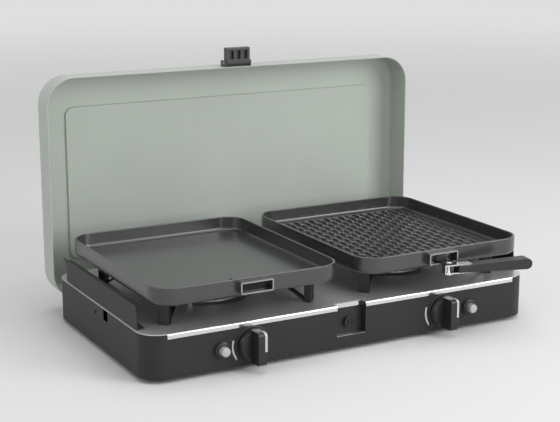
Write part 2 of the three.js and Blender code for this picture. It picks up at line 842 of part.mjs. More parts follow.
function makeLid() {
  const shell = tray(lidWidth, lidHeight, lidCorner, lidFillet, lidDepth, lidSheet, lidSheet);
  const pressedWidth = lidWidth - 2 * panelSide;
  const pressedHeight = lidHeight - 2 * panelEnd;
  const press = (inset, z0, z1) => new THREE.ExtrudeGeometry(
    roundedRect(pressedWidth - 2 * inset, pressedHeight - 2 * inset, panelCorner),
    { depth: z1 - z0, bevelThickness: panelBevel, bevelSize: panelBevel, bevelSegments: 1, curveSegments: 5 },
  ).translate(0, 0, z0);
  const raised = join(shell, press(0, 0, panelRise - panelBevel + lidSheet));
  const pressed = cut(raised, press(lidSheet, -6, panelRise - panelBevel));
  return pressed.rotateX(Math.PI / 2).translate(0, lidRim + lidDepth, lidMiddle);
}

// strap from the lid's lower wall to the hinge pin, with a riveted foot
function makeArm(side) {
  const footTop = lidBottom + lidSheet + gap + armFootSheet - hingeZ;
  const reach = lidRim + 16 - hingeY;
  const strap = new THREE.Shape();
  strap.moveTo(0, -armEye);
  strap.lineTo(reach - armBar, -armBar / 2);
  strap.lineTo(reach - armBar, footTop - 0.5);
  strap.lineTo(reach + 4, footTop - 0.5);
  strap.lineTo(reach + 4, armBar / 2);
  strap.lineTo(0, armEye);
  strap.absarc(0, 0, armEye, Math.PI / 2, Math.PI * 1.5);
  strap.closePath();
  const plate = prism(strap, -armSheet / 2, armSheet / 2).rotateX(Math.PI / 2).rotateZ(Math.PI / 2);
  const foot = block([-armFoot / 2, armFoot / 2], [lidRim + 3 - hingeY, reach + 12],
    [footTop - armFootSheet, footTop]);
  const hole = rod(hingePin + runningGap, -armSheet, armSheet).rotateY(Math.PI / 2);
  return cut(join(plate, foot), hole).translate(side * hingeX, hingeY, hingeZ);
}

function makeHingePin() {
  const half = slotWidth / 2 + bracketSheet;
  return turned([
    [0, -half - 1], [hingePin, -half - 1], [hingePin, half + gap], [hingePin + 2, half + gap],
    [hingePin + 2, half + 2], [0, half + 2],
  ], 20).rotateY(Math.PI / 2);
}

// two ears either side of the arm, joined by a plate on the casing's rear wall
function makeBracket() {
  const inner = slotWidth / 2;
  const outer = inner + bracketSheet;
  const rear = rearFace - casingSheet - gap;
  const low = trayTop + gap;
  const high = hobUnder - casingSheet - gap * 3;
  const front = hingeY - armEye - 3;
  const ears = [[-outer, -inner], [inner, outer]].map((span) => block(span, [front, rear], [low, high]));
  const back = block([-outer, outer], [rear - bracketSheet, rear], [low, hingeZ - armBar - 1]);
  const foot = block([-outer, outer], [front, rear], [low, low + bracketSheet]);
  const hole = rod(hingePin + gap, -outer - 1, outer + 1).rotateY(Math.PI / 2).translate(0, hingeY, hingeZ);
  // the tray's upturned edge and the casing's top flange stand where the bracket meets the wall
  const edge = block([-outer - 1, outer + 1], [rear - traySheet - gap, rear + 1],
    [low - 1, trayBottom + trayWall + gap]);
  return cut(join(...ears, back, foot), hole, edge);
}

const latchY = lidRim + latchFromRim;
const latchZ = lidTop + latchThick / 2 + latchClear;

// latch lever about its pin, standing up, with dark slots in its inner face and a hook at its end
function makeLatch() {
  const half = latchThick / 2;
  const wide = latchWidth / 2;
  const lever = join(
    block([-wide, wide], [-half, half], [0, latchLength - half]),
    rod(half, -wide, wide, 24).rotateY(Math.PI / 2),
  );
  const pitch = (latchWidth - latchEdge) / latchSlots;
  const slots = Array.from({ length: latchSlots }, (_, n) => {
    const x = (n - (latchSlots - 1) / 2) * pitch;
    return block([x - latchSlot / 2, x + latchSlot / 2], [-half - 1, -half + latchSlotDepth],
      [half, latchLength - half - latchEdge]);
  });
  const bore = rod(latchPin + gap, -wide - 1, wide + 1, 16).rotateY(Math.PI / 2);
  return cut(lever, bore, ...slots);
}

// ears either side of the latch on a strip fixed to the lid's front wall
function makeLatchBracket() {
  const inner = latchWidth / 2 + runningGap;
  const outer = inner + latchEar;
  const low = lidTop + gap;
  const rear = latchY + latchThick / 2 + runningGap;
  const tab = rear + latchThick / 2;
  const ears = [[-outer, -inner], [inner, outer]].map((span) =>
    block(span, [latchY - latchThick / 2 + 1, tab], [low, latchZ + 3]));
  const strip = block([-outer, outer], [rear, tab], [low, low + latchEar]);
  const hole = rod(latchPin + gap, -outer - 1, outer + 1, 16)
    .rotateY(Math.PI / 2)
    .translate(0, latchY, latchZ);
  return cut(join(...ears, strip), hole);
}

function makeLatchPin() {
  const half = latchWidth / 2 + runningGap + latchEar;
  return turned([
    [0, -half - 0.5], [latchPin, -half - 0.5], [latchPin, half + gap], [latchPin + 1, half + gap],
    [latchPin + 1, half + 1.2], [0, half + 1.2],
  ], 16).rotateY(Math.PI / 2);
}

// stud on the back of the recess that the latch hooks over
function makeKeeper() {
  const lip = keeperReach - 1.5;
  return turned([
    [0, gap], [keeperNeck, gap], [keeperNeck, lip], [keeperRadius, lip],
    [keeperRadius - 0.8, keeperReach], [0, keeperReach],
  ], 24);
}

// ---- assembly -----------------------------------------------------------------------------------

function makeBase() {
  const base = new THREE.Group();
  base.add(
    piece('casing', makeCasing(), finishes.charcoalPaint),
    piece('bottom_tray', makeTray(), finishes.galvanised),
    piece('hob_top', makeHob(), finishes.stainless),
    piece('gas_rail', makeRail(), finishes.aluminium),
    piece('gas_inlet', makeInlet(), finishes.brass),
    piece('latch_keeper', makeKeeper().rotateX(Math.PI / 2)
      .translate(0, frontFace + recessDepth, keeperZ), finishes.galvanised),
  );
  for (const [place, x, y] of footPlaces()) {
    const foot = piece(`foot_${place}`, makeFoot(), finishes.rubber);
    foot.position.set(x, y, 0);
    base.add(foot);
  }
  return base;
}

function makeZone(name, side) {
  const zone = new THREE.Group();
  zone.position.set(side * zoneX, 0, 0);
  const burner = piece(`burner_body_${name}`, makeBurnerBody(), finishes.aluminium);
  const cap = piece(`burner_cap_${name}`, makeBurnerCap(), finishes.blackPaint);
  const support = piece(`pan_support_${name}`, makeSupport(), finishes.blackPaint);
  for (const mesh of [burner, cap, support]) mesh.position.set(0, zoneY, 0);
  const electrode = piece(`electrode_${name}`, makeElectrode(side), finishes.ceramic);
  electrode.position.set(side * electrodeOffset, electrodeY, 0);
  const jet = piece(`jet_${name}`, makeJet(), finishes.brass);
  jet.position.set(0, valveBack + gap, knobZ);
  zone.add(burner, cap, support, electrode, jet, piece(`mixer_${name}`, makeMixer(), finishes.galvanised));
  return zone;
}

function makeControls(name, side) {
  const controls = new THREE.Group();
  const onFront = (node, geometry, finish, x, z) => {
    const mesh = piece(node, geometry.rotateX(Math.PI / 2), finish);
    mesh.position.set(x, frontFace, z);
    return mesh;
  };
  controls.add(
    piece(`valve_${name}`, makeValve(side), finishes.brass),
    onFront(`knob_bezel_${name}`, makeBezel(), finishes.blackPlastic, side * zoneX, knobZ),
    onFront(`valve_stem_${name}`, makeStem(), finishes.brass, side * zoneX, knobZ),
    onFront(`knob_${name}`, makeKnob(), finishes.blackPlastic, side * zoneX, knobZ),
    onFront(`igniter_${name}`, makeIgniter(), finishes.greyPlastic, side * igniterX, igniterZ),
    onFront(`igniter_collar_${name}`, makeCollar(), finishes.blackPlastic, side * igniterX, igniterZ),
    onFront(`igniter_button_${name}`, makeButton(), finishes.greyPlastic, side * igniterX, igniterZ),
    piece(`igniter_lead_${name}`, makeLead(side), finishes.rubber),
    piece(`side_shield_${name}`, makeShield(side), finishes.blackPaint),
  );
  return controls;
}

function makePlates() {
  const plates = new THREE.Group();
  const flat = piece('flat_plate', makeFlatPlate(), finishes.nonStick);
  const ribbed = piece('ribbed_plate', makeRibbedPlate(), finishes.nonStick);
  const tongue = piece('handle_tongue', makeTongue(), finishes.stainless);
  const pin = piece('handle_pin', makeHandlePin(), finishes.stainless);
  flat.position.x = -zoneX;
  ribbed.position.x = zoneX;
  tongue.position.x = handleX;
  pin.position.set(handleX, pivotY, 0);
  const handle = new THREE.Group();
  handle.position.set(handleX, pivotY, clipMiddle);
  handle.rotation.z = handleTurn;
  handle.add(
    piece('handle_clip', makeClip(), finishes.stainless),
    piece('handle_grip', makeGrip(), finishes.blackPlastic),
  );
  plates.add(flat, ribbed, tongue, pin, handle);
  return plates;
}

function makeLidGroup() {
  const lid = new THREE.Group();
  const latch = piece('latch', makeLatch(), finishes.blackPlastic);
  const pin = piece('latch_pin', makeLatchPin(), finishes.galvanised);
  latch.position.set(0, latchY, latchZ);
  pin.position.set(0, latchY, latchZ);
  lid.add(
    piece('lid', makeLid(), finishes.sagePaint),
    piece('latch_bracket', makeLatchBracket(), finishes.blackPlastic),
    latch,
    pin,
  );
  for (const [name, side] of sides) lid.add(piece(`lid_arm_${name}`, makeArm(side), finishes.galvanised));
  return lid;
}

const stove = new THREE.Group();
stove.add(makeBase(), makePlates(), makeLidGroup());
for (const [name, side] of sides) {
  stove.add(makeZone(name, side), makeControls(name, side));
  const bracket = piece(`hinge_bracket_${name}`, makeBracket(), finishes.galvanised);
  const pin = piece(`hinge_pin_${name}`, makeHingePin(), finishes.galvanised);
  bracket.position.set(side * hingeX, 0, 0);
  pin.position.set(side * hingeX, hingeY, hingeZ);
  stove.add(bracket, pin);
}

// origin at the bottom centre of the whole object
const bounds = new THREE.Box3().setFromObject(stove, true);
const centre = bounds.getCenter(new THREE.Vector3());
stove.position.set(-centre.x, -centre.y, -bounds.min.z);

export default stove;
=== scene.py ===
# Two-burner camping stove with its lid open, a flat plate and a ribbed plate on the burners.
import json
import math

import bpy
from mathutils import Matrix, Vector

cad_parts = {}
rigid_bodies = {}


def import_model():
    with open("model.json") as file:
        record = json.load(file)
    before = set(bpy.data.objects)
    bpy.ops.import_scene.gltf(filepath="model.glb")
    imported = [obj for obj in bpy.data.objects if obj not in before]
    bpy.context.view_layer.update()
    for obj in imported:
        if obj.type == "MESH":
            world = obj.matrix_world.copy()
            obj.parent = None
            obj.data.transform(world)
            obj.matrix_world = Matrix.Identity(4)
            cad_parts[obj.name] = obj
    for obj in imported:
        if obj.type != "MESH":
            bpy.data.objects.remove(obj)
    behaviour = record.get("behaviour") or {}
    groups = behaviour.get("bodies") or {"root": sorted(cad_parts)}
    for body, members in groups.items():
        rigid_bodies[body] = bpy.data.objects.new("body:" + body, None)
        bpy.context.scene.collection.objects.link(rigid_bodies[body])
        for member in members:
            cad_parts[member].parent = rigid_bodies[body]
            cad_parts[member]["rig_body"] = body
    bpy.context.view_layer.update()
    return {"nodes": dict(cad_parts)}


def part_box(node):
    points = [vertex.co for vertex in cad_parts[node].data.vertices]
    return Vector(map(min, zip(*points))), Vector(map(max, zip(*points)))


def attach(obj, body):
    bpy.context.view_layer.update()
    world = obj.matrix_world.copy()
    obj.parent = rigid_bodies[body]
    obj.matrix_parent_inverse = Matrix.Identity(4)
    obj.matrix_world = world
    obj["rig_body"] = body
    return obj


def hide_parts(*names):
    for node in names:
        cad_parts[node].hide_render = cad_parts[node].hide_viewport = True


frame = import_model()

mm = 0.001
sides = ("left", "right")
near = 0.1 * mm     # places closer than this count as the same
spare = 5 * mm      # how far a cutter stands out past what it cuts


# small tools

def middle(node):
    low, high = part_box(node)
    return (low + high) / 2


def measure(node):
    # lowest and highest corners, middle, and radius across
    low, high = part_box(node)
    return low, high, (low + high) / 2, (high.x - low.x) / 2


def only(obj):
    bpy.ops.object.select_all(action="DESELECT")
    obj.select_set(True)
    bpy.context.view_layer.objects.active = obj


def settle(obj):
    # its place, turn and size go into the mesh
    only(obj)
    bpy.ops.object.transform_apply(location=True, rotation=True, scale=True)
    return obj


def pick(obj, kind, test):
    # leaves obj in edit mode with what passes the test selected
    only(obj)
    bpy.ops.object.mode_set(mode="EDIT")
    bpy.ops.mesh.select_mode(type=kind)
    bpy.ops.mesh.select_all(action="DESELECT")
    bpy.ops.object.mode_set(mode="OBJECT")
    mesh = obj.data
    if kind == "FACE":
        for face in mesh.polygons:
            face.select = bool(test(face.center, face.normal))
    elif kind == "EDGE":
        for edge in mesh.edges:
            start, end = (mesh.vertices[i].co for i in edge.vertices)
            edge.select = bool(test((start + end) / 2, (end - start).normalized()))
    else:
        for vertex in mesh.vertices:
            vertex.select = bool(test(vertex.co, vertex.normal))
    bpy.ops.object.mode_set(mode="EDIT")


def leave():
    bpy.ops.object.mode_set(mode="OBJECT")


def addBlock(name, low, high):
    centre = [(a + b) / 2 for a, b in zip(low, high)]
    bpy.ops.mesh.primitive_cube_add(size=1, location=centre)
    obj = bpy.context.active_object
    obj.name = name
    obj.scale = [b - a for a, b in zip(low, high)]
    return settle(obj)


def roundEdges(obj, test, radius, steps):
    pick(obj, "EDGE", test)
    bpy.ops.mesh.bevel(offset=radius, segments=steps, affect="EDGES", clamp_overlap=False)
    leave()
    return obj


def applyModifier(obj, kind, **settings):
    only(obj)
    modifier = obj.modifiers.new(kind.lower(), kind)
    for key, value in settings.items():
        setattr(modifier, key, value)
    bpy.ops.object.modifier_apply(modifier=modifier.name)
    return obj


def carve(obj, *tools):
    # cuts the tools away and removes them
    for tool in tools:
        applyModifier(obj, "BOOLEAN", object=tool, operation="DIFFERENCE", solver="EXACT")
        bpy.data.objects.remove(tool)
    return obj


def merge(first, *others):
    bpy.ops.object.select_all(action="DESELECT")
    for obj in (first, *others):
        obj.select_set(True)
    bpy.context.view_layer.objects.active = first
    bpy.ops.object.join()
    return first


def soften(obj, width=0.4 * mm, steps=2, angle=32):
    # a small round on every sharp edge, smooth between them
    if width:
        applyModifier(obj, "BEVEL", width=width, segments=steps, limit_method="ANGLE",
                      angle_limit=math.radians(angle), use_clamp_overlap=True)
    only(obj)
    bpy.ops.object.shade_smooth_by_angle(angle=math.radians(angle))
    applyModifier(obj, "WEIGHTED_NORMAL", keep_sharp=True)
    return obj


def addTurned(name, profile, base, turn=(0, 0, 0), steps=56):
    # spins [radius, height] pairs about the axis through base; turn lays the axis down
    bpy.ops.mesh.primitive_plane_add(size=1)
    obj = bpy.context.active_object
    obj.name = name
    bpy.ops.object.mode_set(mode="EDIT")
    bpy.ops.mesh.select_mode(type="VERT")
    bpy.ops.mesh.select_all(action="SELECT")
    bpy.ops.mesh.merge(type="CENTER")
    bpy.ops.transform.translate(value=(profile[0][0], 0, profile[0][1]))
    for (x0, z0), (x1, z1) in zip(profile, profile[1:]):
        bpy.ops.mesh.extrude_region_move(TRANSFORM_OT_translate={"value": (x1 - x0, 0, z1 - z0)})
    bpy.ops.mesh.select_all(action="SELECT")
    bpy.ops.mesh.spin(steps=steps, angle=2 * math.pi, center=(0, 0, 0), axis=(0, 0, 1))
    bpy.ops.mesh.select_all(action="SELECT")
    bpy.ops.mesh.remove_doubles(threshold=1e-6)
    bpy.ops.mesh.normals_make_consistent(inside=False)
    leave()
    obj.rotation_euler = turn
    obj.location = base
    return settle(obj)


facingFront = (math.pi / 2, 0, 0)   # height runs towards -Y
facingRight = (0, math.pi / 2, 0)   # height runs towards +X


def addRod(name, radius, low, high, base, turn=(0, 0, 0), steps=40):
    return addTurned(name, [(0, low), (radius, low), (radius, high), (0, high)], base, turn, steps)


def refined(name, node, width, angle):
    # a finer copy of a frame piece: merged, its flat faces made whole, its edges rounded
    obj = bpy.data.objects.new(name, frame["nodes"][node].data.copy())
    bpy.context.scene.collection.objects.link(obj)
    obj.data.materials.clear()
    only(obj)
    bpy.ops.object.mode_set(mode="EDIT")
    bpy.ops.mesh.select_all(action="SELECT")
    bpy.ops.mesh.remove_doubles(threshold=2e-6)
    bpy.ops.mesh.dissolve_limited(angle_limit=math.radians(1.5))
    leave()
    return soften(obj, width, 2, angle)


def follow(obj, finish, node):
    # an extra piece rides with a node's body and takes the finish it is given
    obj.data.materials.clear()
    obj.data.materials.append(paint[finish])
    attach(obj, frame["nodes"][node]["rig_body"])
    return obj


def place(obj, finish, node):
    # a finished piece also stands for the node
    follow(obj, finish, node)
    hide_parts(node)
    return obj


def placeRefined(name, node, finish, width, angle=32):
    # a frame piece whose shape is right as it is, only finer
    return place(refined(name, node, width, angle), finish, node)


def placePairs(pieces):
    # frame pieces that come as a left and a right one
    for node, (name, finish, width) in pieces.items():
        for side in sides:
            placeRefined(f"{name}_{side}", f"{node}_{side}", finish, width)


# camera, floor and light

view = {
    "turn": -28.65, "tilt": 13.22, "distance": 1.773, "lens": 85.8,
    "aimX": -18.6 * mm, "aimZ": 145.6 * mm,   # from the middle of the casing's bottom edge
}


def addCamera():
    turn, tilt = math.radians(view["turn"]), math.radians(view["tilt"])
    back = Vector((math.sin(turn) * math.cos(tilt), -math.cos(turn) * math.cos(tilt), math.sin(tilt)))
    low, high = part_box("casing")
    aim = Vector(((low.x + high.x) / 2 + view["aimX"], (low.y + high.y) / 2, low.z + view["aimZ"]))
    camera = bpy.data.objects.new("camera", bpy.data.cameras.new("camera"))
    bpy.context.scene.collection.objects.link(camera)
    camera.data.lens = view["lens"]
    camera.data.sensor_width = 36
    camera.location = aim + back * view["distance"]
    camera.rotation_euler = (-back).to_track_quat("-Z", "Y").to_euler()
    bpy.context.scene.camera = camera


lamps = [
    # name, place, size, power
    ("keyLamp", (1.5, -2.0, 1.3), 1.6, 34),
    ("topLamp", (0.2, -0.2, 2.4), 2.2, 20),
    ("lowLamp", (0.3, -2.5, 0.42), 0.6, 7),
    ("leftLamp", (-2.3, -0.4, 1.0), 1.2, 6),
]


def addLamps():
    aim = middle("hob_top")
    for name, spot, size, power in lamps:
        lamp = bpy.data.lights.new(name, "AREA")
        lamp.shape = "DISK"
        lamp.size = size
        lamp.energy = power
        obj = bpy.data.objects.new(name, lamp)
        bpy.context.scene.collection.objects.link(obj)
        obj.location = spot
        obj.rotation_euler = (aim - Vector(spot)).to_track_quat("-Z", "Y").to_euler()


worldLook = {"light": 0.48, "backdrop": 0.92, "backdropColor": (0.9, 0.9, 0.9, 1)}


def addWorld():
    # a soft light all round, and a pale backdrop for the camera and in reflections
    world = bpy.data.worlds.new("studio")
    bpy.context.scene.world = world
    world.use_nodes = True
    nodes, links = world.node_tree.nodes, world.node_tree.links
    nodes.clear()
    path = nodes.new("ShaderNodeLightPath")
    reflected, seen = nodes.new("ShaderNodeMath"), nodes.new("ShaderNodeMath")
    for node in (reflected, seen):
        node.operation = "ADD"
    seen.use_clamp = True
    links.new(path.outputs["Is Glossy Ray"], reflected.inputs[0])
    links.new(path.outputs["Is Transmission Ray"], reflected.inputs[1])
    links.new(path.outputs["Is Camera Ray"], seen.inputs[0])
    links.new(reflected.outputs[0], seen.inputs[1])
    light, backdrop = nodes.new("ShaderNodeBackground"), nodes.new("ShaderNodeBackground")
    light.inputs["Color"].default_value = (1, 1, 1, 1)
    light.inputs["Strength"].default_value = worldLook["light"]
    backdrop.inputs["Color"].default_value = worldLook["backdropColor"]
    backdrop.inputs["Strength"].default_value = worldLook["backdrop"]
    mix = nodes.new("ShaderNodeMixShader")
    out = nodes.new("ShaderNodeOutputWorld")
    links.new(seen.outputs[0], mix.inputs[0])
    links.new(light.outputs[0], mix.inputs[1])
    links.new(backdrop.outputs[0], mix.inputs[2])
    links.new(mix.outputs[0], out.inputs["Surface"])


floorLook = {"size": 24, "drop": 0.3 * mm, "color": (0.8, 0.8, 0.8, 1), "rough": 0.95, "specular": 0.1,
             "glowFrom": 0.8, "glowTo": 5.0, "glow": 0.32}


def addFloor():
    bpy.ops.mesh.primitive_plane_add(size=floorLook["size"], location=(0, 0, -floorLook["drop"]))
    floor = bpy.context.active_object
    floor.name = "floor"
    material = bpy.data.materials.new("paleFloor")
    material.use_nodes = True
    tree = material.node_tree
    shader = tree.nodes["Principled BSDF"]
    shader.inputs["Base Color"].default_value = floorLook["color"]
    shader.inputs["Roughness"].default_value = floorLook["rough"]
    shader.inputs["Specular IOR Level"].default_value = floorLook["specular"]
    # far from the lamps the floor glows a little, so that it stays pale to the horizon
    coords = tree.nodes.new("ShaderNodeTexCoord")
    length = tree.nodes.new("ShaderNodeVectorMath")
    length.operation = "LENGTH"
    tree.links.new(coords.outputs["Object"], length.inputs[0])
    glow = tree.nodes.new("ShaderNodeMapRange")
    glow.interpolation_type = "SMOOTHSTEP"
    glow.inputs["From Min"].default_value = floorLook["glowFrom"]
    glow.inputs["From Max"].default_value = floorLook["glowTo"]
    glow.inputs["To Max"].default_value = floorLook["glow"]
    tree.links.new(length.outputs["Value"], glow.inputs["Value"])
    shader.inputs["Emission Color"].default_value = (1, 1, 1, 1)
    tree.links.new(glow.outputs["Result"], shader.inputs["Emission Strength"])
    floor.data.materials.append(material)


addCamera()
addLamps()
addWorld()
addFloor()
print("camera, light and floor made")


# shader node groups

def newGroup(name, inputs, outputs):
    group = bpy.data.node_groups.new(name, "ShaderNodeTree")
    for label, kind, value in inputs:
        socket = group.interface.new_socket(label, in_out="INPUT", socket_type=kind)
        socket.default_value = value
    for label, kind in outputs:
        group.interface.new_socket(label, in_out="OUTPUT", socket_type=kind)
    start = group.nodes.new("NodeGroupInput")
    end = group.nodes.new("NodeGroupOutput")
    return group, start, end


def addMath(tree, operation, first, second=None, clamp=False):
    node = tree.nodes.new("ShaderNodeMath")
    node.operation = operation
    node.use_clamp = clamp
    for socket, value in zip(node.inputs, (first, second)):
        if value is None:
            continue
        if isinstance(value, (int, float)):
            socket.default_value = value
        else:
            tree.links.new(value, socket)
    return node.outputs[0]


def addRamp(tree, value, low, high):
    # 0 at low, 1 at high
    node = tree.nodes.new("ShaderNodeMapRange")
    node.inputs["From Min"].default_value = low
    node.inputs["From Max"].default_value = high
    tree.links.new(value, node.inputs["Value"])
    return node.outputs["Result"]


def addNoise(tree, vector, scale, detail=3.0, roughness=0.55):
    node = tree.nodes.new("ShaderNodeTexNoise")
    node.inputs["Detail"].default_value = detail
    node.inputs["Roughness"].default_value = roughness
    if isinstance(scale, (int, float)):
        node.inputs["Scale"].default_value = scale
    else:
        tree.links.new(scale, node.inputs["Scale"])
    tree.links.new(vector, node.inputs["Vector"])
    return node.outputs["Fac"]


ageLook = {"dustScale": 26.0, "edgeRadius": 0.7 * mm, "chipScale": 140.0,
           "scratchStretch": (14.0, 420.0, 420.0), "scratchTurn": (0.0, 0.2, 0.5)}


def makeSurfaceGroup():
    # broad tone, fine grain, dust on upward faces, worn edges, which some finishes use as a painted
    # highlight along their rims, and light scratches
    group, start, end = newGroup(
        "surfaceAge",
        [("Grain Scale", "NodeSocketFloat", 900.0), ("Tone Scale", "NodeSocketFloat", 9.0)],
        [("Tone", "NodeSocketFloat"), ("Grain", "NodeSocketFloat"), ("Dust", "NodeSocketFloat"),
         ("Edge", "NodeSocketFloat"), ("Scratch", "NodeSocketFloat")],
    )
    links = group.links
    coords = group.nodes.new("ShaderNodeTexCoord").outputs["Object"]
    geometry = group.nodes.new("ShaderNodeNewGeometry")
    tone = addNoise(group, coords, start.outputs["Tone Scale"], 4.0)
    grain = addNoise(group, coords, start.outputs["Grain Scale"], 2.0, 0.6)
    # dust lies in patches on what faces up
    split = group.nodes.new("ShaderNodeSeparateXYZ")
    links.new(geometry.outputs["Normal"], split.inputs[0])
    upward = addRamp(group, split.outputs["Z"], 0.35, 1.0)
    patches = addRamp(group, addNoise(group, coords, ageLook["dustScale"], 6.0, 0.7), 0.42, 0.72)
    dust = addMath(group, "MULTIPLY", upward, patches)
    # an edge is where the rounded normal leaves the true one, broken up by chips
    rounded = group.nodes.new("ShaderNodeBevel")
    rounded.samples = 4
    rounded.inputs["Radius"].default_value = ageLook["edgeRadius"]
    along = group.nodes.new("ShaderNodeVectorMath")
    along.operation = "DOT_PRODUCT"
    links.new(rounded.outputs["Normal"], along.inputs[0])
    links.new(geometry.outputs["Normal"], along.inputs[1])
    turned = addMath(group, "SUBTRACT", along.outputs["Value"], 1.0)
    edge = addRamp(group, addMath(group, "ABSOLUTE", turned), 0.02, 0.16)
    chips = addRamp(group, addNoise(group, coords, ageLook["chipScale"], 5.0, 0.7), 0.4, 0.7)
    edgeWearAndHighlight = addMath(group, "MULTIPLY", edge, chips)
    # long thin noise makes the scratches
    stretch = group.nodes.new("ShaderNodeMapping")
    stretch.inputs["Scale"].default_value = ageLook["scratchStretch"]
    stretch.inputs["Rotation"].default_value = ageLook["scratchTurn"]
    links.new(coords, stretch.inputs["Vector"])
    lines = addRamp(group, addNoise(group, stretch.outputs[0], 1.0, 2.0, 0.5), 0.7, 0.78)
    results = {"Tone": tone, "Grain": grain, "Dust": dust, "Edge": edgeWearAndHighlight, "Scratch": lines}
    for label, value in results.items():
        links.new(value, end.inputs[label])
    return group


def makeBrushedGroup():
    # fine lines along one direction, as rolled or brushed sheet has
    group, start, end = newGroup(
        "brushedLines",
        [("Stretch", "NodeSocketVector", (3.0, 900.0, 900.0))],
        [("Lines", "NodeSocketFloat")],
    )
    coords = group.nodes.new("ShaderNodeTexCoord").outputs["Object"]
    scaled = group.nodes.new("ShaderNodeVectorMath")
    scaled.operation = "MULTIPLY"
    group.links.new(coords, scaled.inputs[0])
    group.links.new(start.outputs["Stretch"], scaled.inputs[1])
    group.links.new(addNoise(group, scaled.outputs[0], 1.0, 4.0, 0.7), end.inputs["Lines"])
    return group


surfaceAge = makeSurfaceGroup()
brushedLines = makeBrushedGroup()


def mixColor(tree, factor, first, second):
    node = tree.nodes.new("ShaderNodeMix")
    node.data_type = "RGBA"
    for socket, value in ((node.inputs[0], factor), (node.inputs[6], first), (node.inputs[7], second)):
        if isinstance(value, (int, float)):
            socket.default_value = value
        elif isinstance(value, tuple):
            socket.default_value = (*value, 1)
        else:
            tree.links.new(value, socket)
    return node.outputs[2]


plainFinish = {   # what a finish has where its own settings don't say
    "grainScale": 900.0, "toneScale": 9.0, "speckle": 0.25, "edge": 0.4, "scratch": 0.08,
    "dust": 0.05, "dustColor": (0.42, 0.41, 0.39), "roughSpread": 0.12, "bump": 0.12, "bumpDepth": 0.1,
    "metal": 0.0, "specular": 0.5, "coat": 0.0, "coatRough": 0.2, "lineShare": 0.5, "lineRough": 0.16,
}


def makeFinish(name, settings):
    # tone, grain, worn edges, scratches and dust in the colour, grain or lines in the bump
    look = {**plainFinish, **settings}
    material = bpy.data.materials.new(name)
    material.use_nodes = True
    tree = material.node_tree
    shader = tree.nodes["Principled BSDF"]
    age = tree.nodes.new("ShaderNodeGroup")
    age.node_tree = surfaceAge
    age.inputs["Grain Scale"].default_value = look["grainScale"]
    age.inputs["Tone Scale"].default_value = look["toneScale"]
    tone = addRamp(tree, age.outputs["Tone"], 0.3, 0.7)
    color = mixColor(tree, tone, look["dark"], look["light"])
    height, unevenness, spread = age.outputs["Grain"], age.outputs["Tone"], look["roughSpread"]
    if "stretch" in look:
        brushed = tree.nodes.new("ShaderNodeGroup")
        brushed.node_tree = brushedLines
        brushed.inputs["Stretch"].default_value = look["stretch"]
        lines = addRamp(tree, brushed.outputs["Lines"], 0.3, 0.7)
        share = addMath(tree, "MULTIPLY", lines, look["lineShare"])
        color = mixColor(tree, share, color, look["lineColor"])
        height, unevenness, spread = brushed.outputs["Lines"], brushed.outputs["Lines"], look["lineRough"]
    rough = addMath(tree, "MULTIPLY_ADD", unevenness, spread)
    rough.node.inputs[2].default_value = look["rough"] - spread / 2
    specks = addRamp(tree, age.outputs["Grain"], 0.35, 0.7)
    for mask, strength, tint in (
            (specks, "speckle", "light"), (age.outputs["Edge"], "edge", "edgeColor"),
            (age.outputs["Scratch"], "scratch", "edgeColor"), (age.outputs["Dust"], "dust", "dustColor")):
        amount = addMath(tree, "MULTIPLY", mask, look[strength])
        color = mixColor(tree, amount, color, look[tint])
    tree.links.new(color, shader.inputs["Base Color"])
    # the last amount is the dust, which is dull
    tree.links.new(addMath(tree, "ADD", rough, amount, clamp=True), shader.inputs["Roughness"])
    bump = tree.nodes.new("ShaderNodeBump")
    bump.inputs["Strength"].default_value = look["bump"]
    bump.inputs["Distance"].default_value = look["bumpDepth"] * mm
    tree.links.new(height, bump.inputs["Height"])
    tree.links.new(bump.outputs["Normal"], shader.inputs["Normal"])
    shader.inputs["Metallic"].default_value = look["metal"]
    shader.inputs["Specular IOR Level"].default_value = look["specular"]
    if look["coat"]:
        shader.inputs["Coat Weight"].default_value = look["coat"]
        shader.inputs["Coat Roughness"].default_value = look["coatRough"]
    return material


